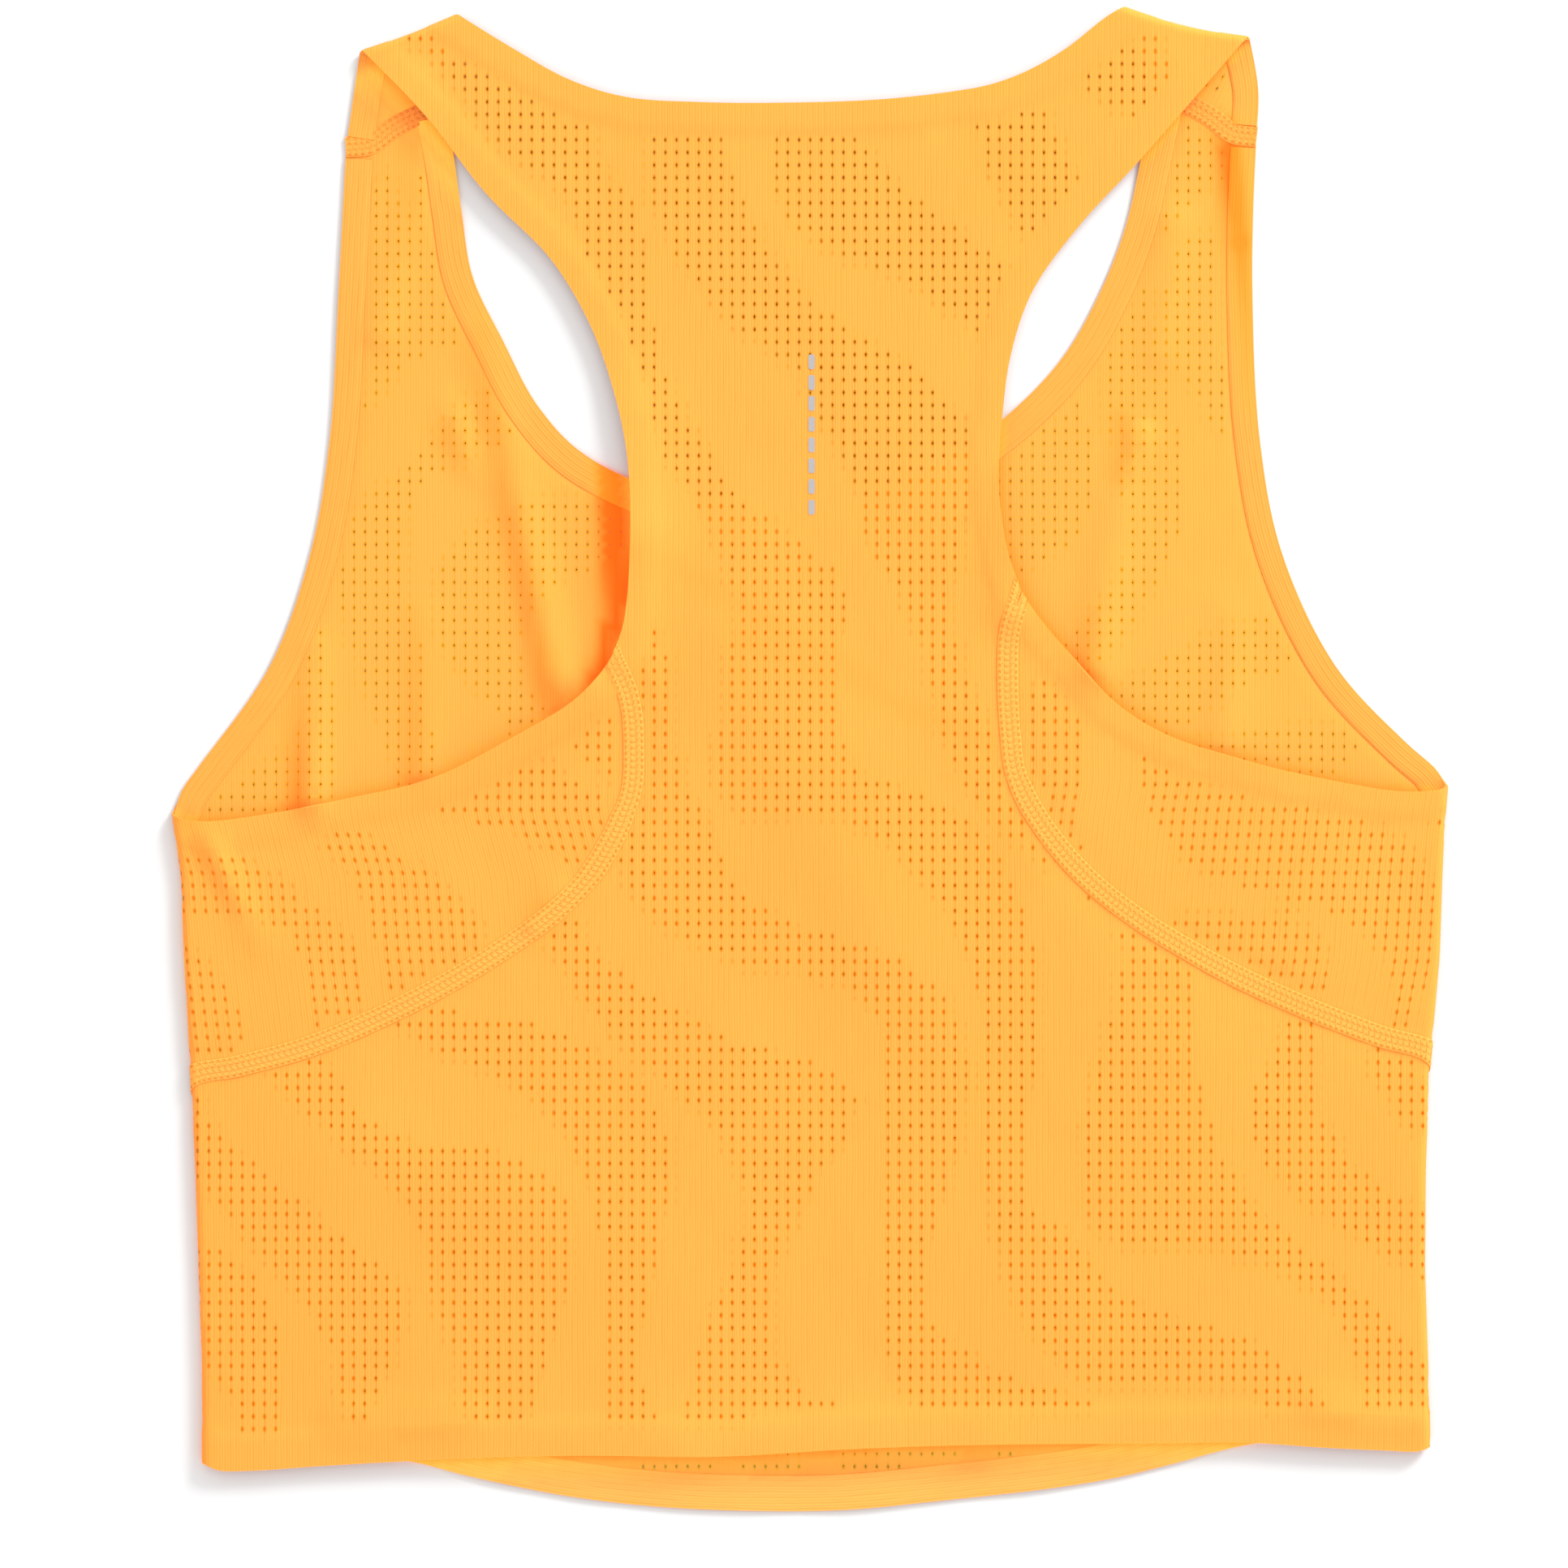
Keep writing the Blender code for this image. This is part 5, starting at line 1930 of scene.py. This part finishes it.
@dataclass(frozen=True)
class KnitFinish:
    """The fine ribbed knit, on its outer or its inner side.

    Attributes:
        name: of the material.
        colour: of the ribs.
        deep_colour: of the grooves between them, as painted shade, and of the yarn's darker tone.
        glow_colour: of the light that comes through the cloth.
        rib_pitch: from one rib to the next, in millimetres.
        rib_wander: how far the ribs stray from a straight line, in millimetres.
        rib_depth: of the grooves.
        rib_contrast: how much darker the grooves are, as painted shade.
        wale_contrast: how dark the thin painted shade lines between every second pair of ribs are.
        yarn_contrast: how much the shade varies from yarn to yarn, as a share of rib_contrast.
        cloud_contrast: how much it varies over the whole cloth.
        column_pitch: from one column of eyelets to the next, in millimetres.
        row_pitch: from one row of eyelets to the next, in millimetres.
        eyelet_shade_width: half width of the painted shade round an eyelet, in millimetres.
        eyelet_shade_height: half height of that painted shade, in millimetres.
        eyelet_shade_colour: of that painted shade, which makes the eyelet look darker.
        tucked_shade_colour: painted shade colour of the cloth where it is tucked under the other
            layer.
        tucked_glow: painted glow, an emission for the light the two layers throw to and fro there.
        edge_glow: that painted glow close to the upper layer's edge, where it is redder.
        shaded_glow: painted glow for what is left of that light in the shade beside the upper
            layer.
        fold_shade_colour: painted shade colour of the cloth far into a fold.
        fold_glow: painted glow for the light caught there.
        groove_contrast: how dark the painted shade in the groove that joins the eyelets of a
            column is.
        translucency: share of the light that passes through.
        roughness: of the yarn.
    """

    name: str
    colour: Colour
    deep_colour: Colour
    glow_colour: Colour
    rib_pitch: float = 0.93
    rib_wander: float = 1.1
    rib_depth: float = 0.07 * MM
    rib_contrast: float = 0.28
    wale_contrast: float = 0.14
    yarn_contrast: float = 0.30
    cloud_contrast: float = 0.22
    column_pitch: float = 3.7
    row_pitch: float = 4.2
    eyelet_shade_width: float = 0.60
    eyelet_shade_height: float = 0.98
    eyelet_shade_colour: Colour = (0.38, 0.218, 0.002, 1.0)
    tucked_shade_colour: Colour = (0.86, 0.25, 0.004, 1.0)
    tucked_glow: Colour = (0.40, 0.20, 0.0, 1.0)
    edge_glow: Colour = (0.80, 0.12, 0.0, 1.0)
    shaded_glow: Colour = (0.25, 0.34, 0.042, 1.0)
    fold_shade_colour: Colour = (0.97, 0.132, 0.002, 1.0)
    fold_glow: Colour = (0.80, 0.085, 0.0, 1.0)
    groove_contrast: float = 0.34
    translucency: float = 0.42
    roughness: float = 0.82

    def material(self) -> Material:
        """Builds the material.

        Returns:
            The material.
        """
        graph = NodeGraph(self.name)
        place, across, along = graph.cloth()
        open_share = graph.value("openwork")
        tucked, fold_shade = graph.value("tucked"), graph.value("fold_shade")

        # Fine ribs, and a thin dark line between every second pair of them.
        wander = graph.math("SUBTRACT", graph.noise(place, RIB_WANDER), 0.5)
        bent = graph.math("ADD", across, graph.times(wander, self.rib_wander))
        rib = graph.math("SINE", graph.times(bent, 2 * math.pi / self.rib_pitch))
        rib = graph.math("MULTIPLY_ADD", rib, 0.5, 0.5)
        off_wale = graph.math("ABSOLUTE", graph.off_centre(bent, 2 * self.rib_pitch))
        wale_fade = graph.fade(graph.noise(place, WALE_FADE), WALE_BREAKS)
        wale = graph.times(graph.fade(off_wale, WALE_LINE), wale_fade)
        yarn = graph.noise(place, YARN)

        # The groove that joins a column's eyelets, and the painted shade round each of them.
        off_column = graph.math("ABSOLUTE", graph.off_centre(across, self.column_pitch, 0.5))
        groove = graph.times(graph.fade(off_column, GROOVE_LINE), open_share)
        off_row = graph.off_centre(along, self.row_pitch, 0.5)
        off_eyelet = graph.length(
            graph.times(off_row, self.row_pitch / self.eyelet_shade_height),
            graph.times(off_column, self.column_pitch / self.eyelet_shade_width))
        eyelet_shade = graph.times(graph.fade(off_eyelet, EYELET_SHADE_EDGE), open_share)

        # How dark the cloth is: painted shade in the grooves between the ribs, the wale lines and
        # the eyelet grooves, beside the yarn's own uneven tone.
        depth = graph.math("MULTIPLY_ADD", graph.math("SUBTRACT", 1.0, rib),
                           graph.noise(place, RIB_FADE), graph.times(yarn, self.yarn_contrast))
        darker = graph.math("MULTIPLY_ADD", depth, self.rib_contrast,
                            graph.times(groove, self.groove_contrast))
        cloud = graph.math("SUBTRACT", graph.noise(place, CLOUD), 0.5)
        darker = graph.math("ADD", darker, graph.times(cloud, self.cloud_contrast))
        darker = graph.math("MULTIPLY_ADD", wale, self.wale_contrast, darker)
        colour = graph.mix(darker, self.colour, self.deep_colour)
        # Painted shade round each eyelet.
        colour = graph.mix(eyelet_shade, colour, self.eyelet_shade_colour)
        # Painted shade where the cloth is tucked under the other layer.
        colour = graph.mix(tucked, colour, self.tucked_shade_colour)

        # Painted glow: an emission for the light that goes to and fro between the layers and in
        # the folds, with the painted fold shade in the open.
        far_in = graph.fade(tucked, FAR_IN)
        tucked_light = graph.mix(far_in, self.edge_glow, self.tucked_glow)
        light = graph.mix(tucked, self.shaded_glow, tucked_light)
        in_open = graph.times(fold_shade, graph.math("SUBTRACT", 1.0, far_in))
        colour = graph.mix(in_open, colour, self.fold_shade_colour)
        light = graph.mix(in_open, light, self.fold_glow)
        light_share = graph.math("MAXIMUM", tucked, graph.value("shaded"))
        light_share = graph.math("MAXIMUM", light_share, in_open)

        height = graph.math("MULTIPLY_ADD", yarn, 0.35, graph.math("SUBTRACT", rib, groove))
        bump = graph.bump(graph.math("SUBTRACT", height, wale), self.rib_depth)
        yarn_shader = graph.add("ShaderNodeBsdfPrincipled", {
            "Base Color": colour, "Normal": bump, "Roughness": self.roughness,
            "Specular IOR Level": 0.25, "Sheen Weight": 0.08, "Sheen Roughness": 0.5,
            "Emission Color": light, "Emission Strength": light_share,
        })
        glow = graph.add("ShaderNodeBsdfTranslucent", {"Color": self.glow_colour, "Normal": bump})
        mixed = graph.add("ShaderNodeMixShader", {
            0: self.translucency, 1: yarn_shader.outputs[0], 2: glow.outputs[0],
        })
        # The glow is too weak to light other things, and sampling it as a lamp is slow.
        graph.material.cycles.emission_sampling = "NONE"
        return graph.finish(mixed.outputs[0])


@dataclass(frozen=True)
class SeamFinish:
    """The flat seam's band, pricked by the needles and crossed by fine threads.

    Attributes:
        name: of the material.
        colour: of the band.
        deep_colour: painted shade in the needle holes, and the darker tone between the threads.
        row_pitch: from one needle row to the next, in millimetres.
        stitch_pitch: from one stitch to the next, in millimetres.
        mottle: how much the threads' colour varies.
    """

    name: str
    colour: Colour
    deep_colour: Colour
    row_pitch: float = 1.8
    stitch_pitch: float = 2.1
    mottle: float = 0.5

    def material(self) -> Material:
        """Builds the material.

        Returns:
            The material.
        """
        graph = NodeGraph(self.name)
        place, across, along = graph.cloth()
        off_row = graph.off_centre(across, self.row_pitch)
        off_stitch = graph.off_centre(along, self.stitch_pitch)
        away = graph.length(graph.times(off_row, self.row_pitch),
                            graph.times(off_stitch, self.stitch_pitch * HOLE_STRETCH))
        outer_row = graph.fade(graph.math("ABSOLUTE", across), OUTER_ROWS)
        # Painted shade in the needle holes of the outer rows.
        hole = graph.times(graph.fade(away, NEEDLE_HOLE), outer_row)
        weave = graph.noise(place, BAND_WEAVE)
        darker = graph.math("MULTIPLY_ADD", weave, self.mottle, graph.times(hole, NEEDLE_HOLE_SHADE))
        darker = graph.math("SUBTRACT", darker, 0.25 * self.mottle)
        shader = graph.add("ShaderNodeBsdfPrincipled", {
            "Base Color": graph.mix(darker, self.colour, self.deep_colour), "Roughness": 0.8,
            "Normal": graph.bump(graph.math("SUBTRACT", weave, hole), 0.12 * MM),
            "Specular IOR Level": 0.25,
        })
        return graph.finish(shader.outputs[0])


@dataclass(frozen=True)
class PlainFinish:
    """A plain finish with a little unevenness, for thread, film and floor.

    Attributes:
        name: of the material.
        colour: its colour.
        deep_colour: its colour in the darker specks.
        roughness: of the surface.
        metallic: 1 for metal, 0 for all else.
        speck: size of the specks, in specks a metre.
    """

    name: str
    colour: Colour
    deep_colour: Colour
    roughness: float = 0.7
    metallic: float = 0.0
    speck: float = 900.0

    def material(self) -> Material:
        """Builds the material.

        Returns:
            The material.
        """
        graph = NodeGraph(self.name)
        place = graph.add("ShaderNodeTexCoord", {}).outputs["Object"]
        speck = graph.add("ShaderNodeTexNoise", {"Vector": place, "Scale": self.speck})
        colour = graph.mix(speck.outputs["Fac"], self.colour, self.deep_colour)
        shader = graph.add("ShaderNodeBsdfPrincipled", {
            "Base Color": colour, "Roughness": self.roughness, "Metallic": self.metallic,
        })
        return graph.finish(shader.outputs[0])


GLOW = (0.98, 0.38, 0.022, 1.0)
OUTER_KNIT = KnitFinish("outer_knit", (0.97, 0.418, 0.064, 1.0), (0.86, 0.255, 0.015, 1.0), GLOW)
INNER_KNIT = KnitFinish("inner_knit", (0.97, 0.418, 0.063, 1.0), (0.93, 0.30, 0.027, 1.0), GLOW,
                        rib_depth=0.05 * MM, rib_contrast=0.22, wale_contrast=0.12,
                        groove_contrast=0.24, eyelet_shade_colour=(0.54, 0.315, 0.004, 1.0))
TURNED_KNIT = KnitFinish("turned_knit", (0.76, 0.264, 0.038, 1.0), (0.64, 0.175, 0.014, 1.0), GLOW,
                         rib_contrast=0.55, wale_contrast=0.30, translucency=0.06)
# The front hem's turned strip, painted lighter than the other strips to lift the shade that the
# back's hem casts on it.
LIT_HEM_KNIT = KnitFinish("lit_hem_knit", (0.97, 0.315, 0.057, 1.0), (0.90, 0.235, 0.030, 1.0), GLOW,
                      rib_contrast=0.50, wale_contrast=0.3, translucency=0.06)
SEAM_FINISH = SeamFinish("flat_seam", (0.82, 0.290, 0.044, 1.0), (0.60, 0.165, 0.010, 1.0),
                         mottle=0.6)
SHOULDER_FINISH = SeamFinish("shoulder_seam", (0.83, 0.255, 0.033, 1.0), (0.66, 0.140, 0.008, 1.0),
                             mottle=0.9)
THREAD_FINISH = PlainFinish("seam_thread", (0.82, 0.288, 0.044, 1.0), (0.74, 0.218, 0.025, 1.0),
                            speck=2400.0)
FILM_FINISH = PlainFinish("reflective_film", (0.33, 0.31, 0.30, 1.0), (0.25, 0.235, 0.225, 1.0),
                          roughness=0.38, metallic=0.35, speck=3000.0)
FLOOR_FINISH = PlainFinish("pale_floor", (0.552, 0.552, 0.552, 1.0), (0.545, 0.545, 0.545, 1.0),
                           roughness=0.9, speck=3.0)


@dataclass(frozen=True)
class Studio:
    """The pale floor, the soft lights and the camera straight above.

    Attributes:
        view_width: what the camera sees across, at the cloth.
        view_middle: the middle of the view, on the plan.
        camera_height: above the floor.
        sky: strength of the light from all around.
        key_power: of the large lamp at the upper right, in watts.
        key_place: of that lamp.
        key_size: of that lamp.
        floor_size: of the floor, from side to side.
    """

    view_width: float = 521.6 * MM
    view_middle: tuple[float, float] = (-8.64 * MM, -8.24 * MM)
    camera_height: float = 4.0
    sky: float = 1.50
    key_power: float = 290.0
    key_place: tuple[float, float, float] = (2.6, 2.9, 1.75)
    key_size: float = 1.7
    floor_size: float = 6.0

    def floor(self) -> None:
        """A wide flat floor that the top lies on."""
        bpy.ops.mesh.primitive_plane_add(size=self.floor_size, location=(0.0, 0.0, 0.0))
        floor = bpy.context.object
        floor.name = "floor"
        floor.data.materials.append(FLOOR_FINISH.material())

    def lights(self) -> None:
        """Light from all around and one large lamp."""
        world = bpy.data.worlds.new("studio")
        world.use_nodes = True
        background = world.node_tree.nodes["Background"]
        background.inputs["Color"].default_value = (1.0, 1.0, 1.0, 1.0)
        background.inputs["Strength"].default_value = self.sky
        bpy.context.scene.world = world
        lamp = bpy.data.lights.new("key", "AREA")
        lamp.energy = self.key_power
        lamp.size = self.key_size
        key = show("key", lamp)
        key.location = self.key_place
        key.rotation_euler = (-Vector(self.key_place)).to_track_quat("-Z", "Y").to_euler()

    def camera(self) -> None:
        """A long lens straight above the plan."""
        data = bpy.data.cameras.new("camera")
        data.lens = data.sensor_width * self.camera_height / self.view_width
        camera = show("camera", data)
        camera.location = (*self.view_middle, self.camera_height)
        bpy.context.scene.camera = camera
        bpy.context.scene.view_settings.view_transform = "Standard"

    def build(self) -> None:
        """Sets up floor, lights and camera."""
        self.floor()
        self.lights()
        self.camera()
        log.info("studio ready")


FRONT_PATCHES = (
    Patch(x=-133.0, y=172.0, radius=26.0, gain=1.9),
    Patch(x=131.0, y=168.0, radius=24.0, gain=1.7),
)
FRONT_ZONES = EyeletZones(half_width=0.23 * MM, half_height=0.38 * MM, turn=-21.0, phase=0.9,
                          patches=FRONT_PATCHES, seed=11)
BACK_ZONES = EyeletZones(turn=27.0, phase=2.3, seed=23)


def build_sheet(panel: KnitPanel, turned: Material, hem: Material) -> None:
    """Args:
        panel: the panel.
        turned: finish of the strips.
        hem: finish of the hem's strip; on the front it is painted lighter against the back hem's
            shade.
    """
    sheet = panel.build()
    for row in STRIPS:
        node, name = panel.node, "back_" + row.edge + "_strip"
        if panel.node == "front_panel":
            node, name = row.front_node, row.front_node.replace("turning", "strip")
        material = hem if row.edge == "hem" else turned
        TurnedStrip(name, node, row, panel, material).build()
    loop = panel.loop()


def build_seams() -> None:
    """Builds the two curved back seams and the two shoulder seams."""
    band, threads = SEAM_FINISH.material(), THREAD_FINISH.material()
    shoulder_band = SHOULDER_FINISH.material()
    for side, fold, rounds in (("left", LEFT_FOLD, LEFT_SEAM), ("right", RIGHT_FOLD, RIGHT_SEAM)):
        line = seam_edge(front_flat, fold, rounds)
        FlatlockSeam(side + "_back_seam", line, -1, band, threads, fold).build()
    for side, knots in (("left", LEFT_SHOULDER), ("right", RIGHT_SHOULDER)):
        FlatlockSeam(side + "_shoulder_seam", plan_edge(knots), 1, shoulder_band, threads).build()


def main() -> None:
    """Builds the top piece by piece and the studio round it."""
    logging.basicConfig(level=logging.INFO, format="%(name)s: %(message)s")
    inner, outer = INNER_KNIT.material(), OUTER_KNIT.material()
    turned, hem = TURNED_KNIT.material(), LIT_HEM_KNIT.material()
    front = KnitPanel("front_knit", "front_panel", front_edges(), place_front, FRONT_ZONES, -1,
                      [inner, outer])
    back = KnitPanel("back_knit", "back_panel", back_edges(), place_back, BACK_ZONES, 1,
                     [outer, inner])
    build_sheet(front, turned, hem)
    build_sheet(back, turned, turned)
    build_seams()
    ReflectiveDashes(FILM_FINISH.material()).build()
    Studio().build()


if __name__ == "__main__":
    main()
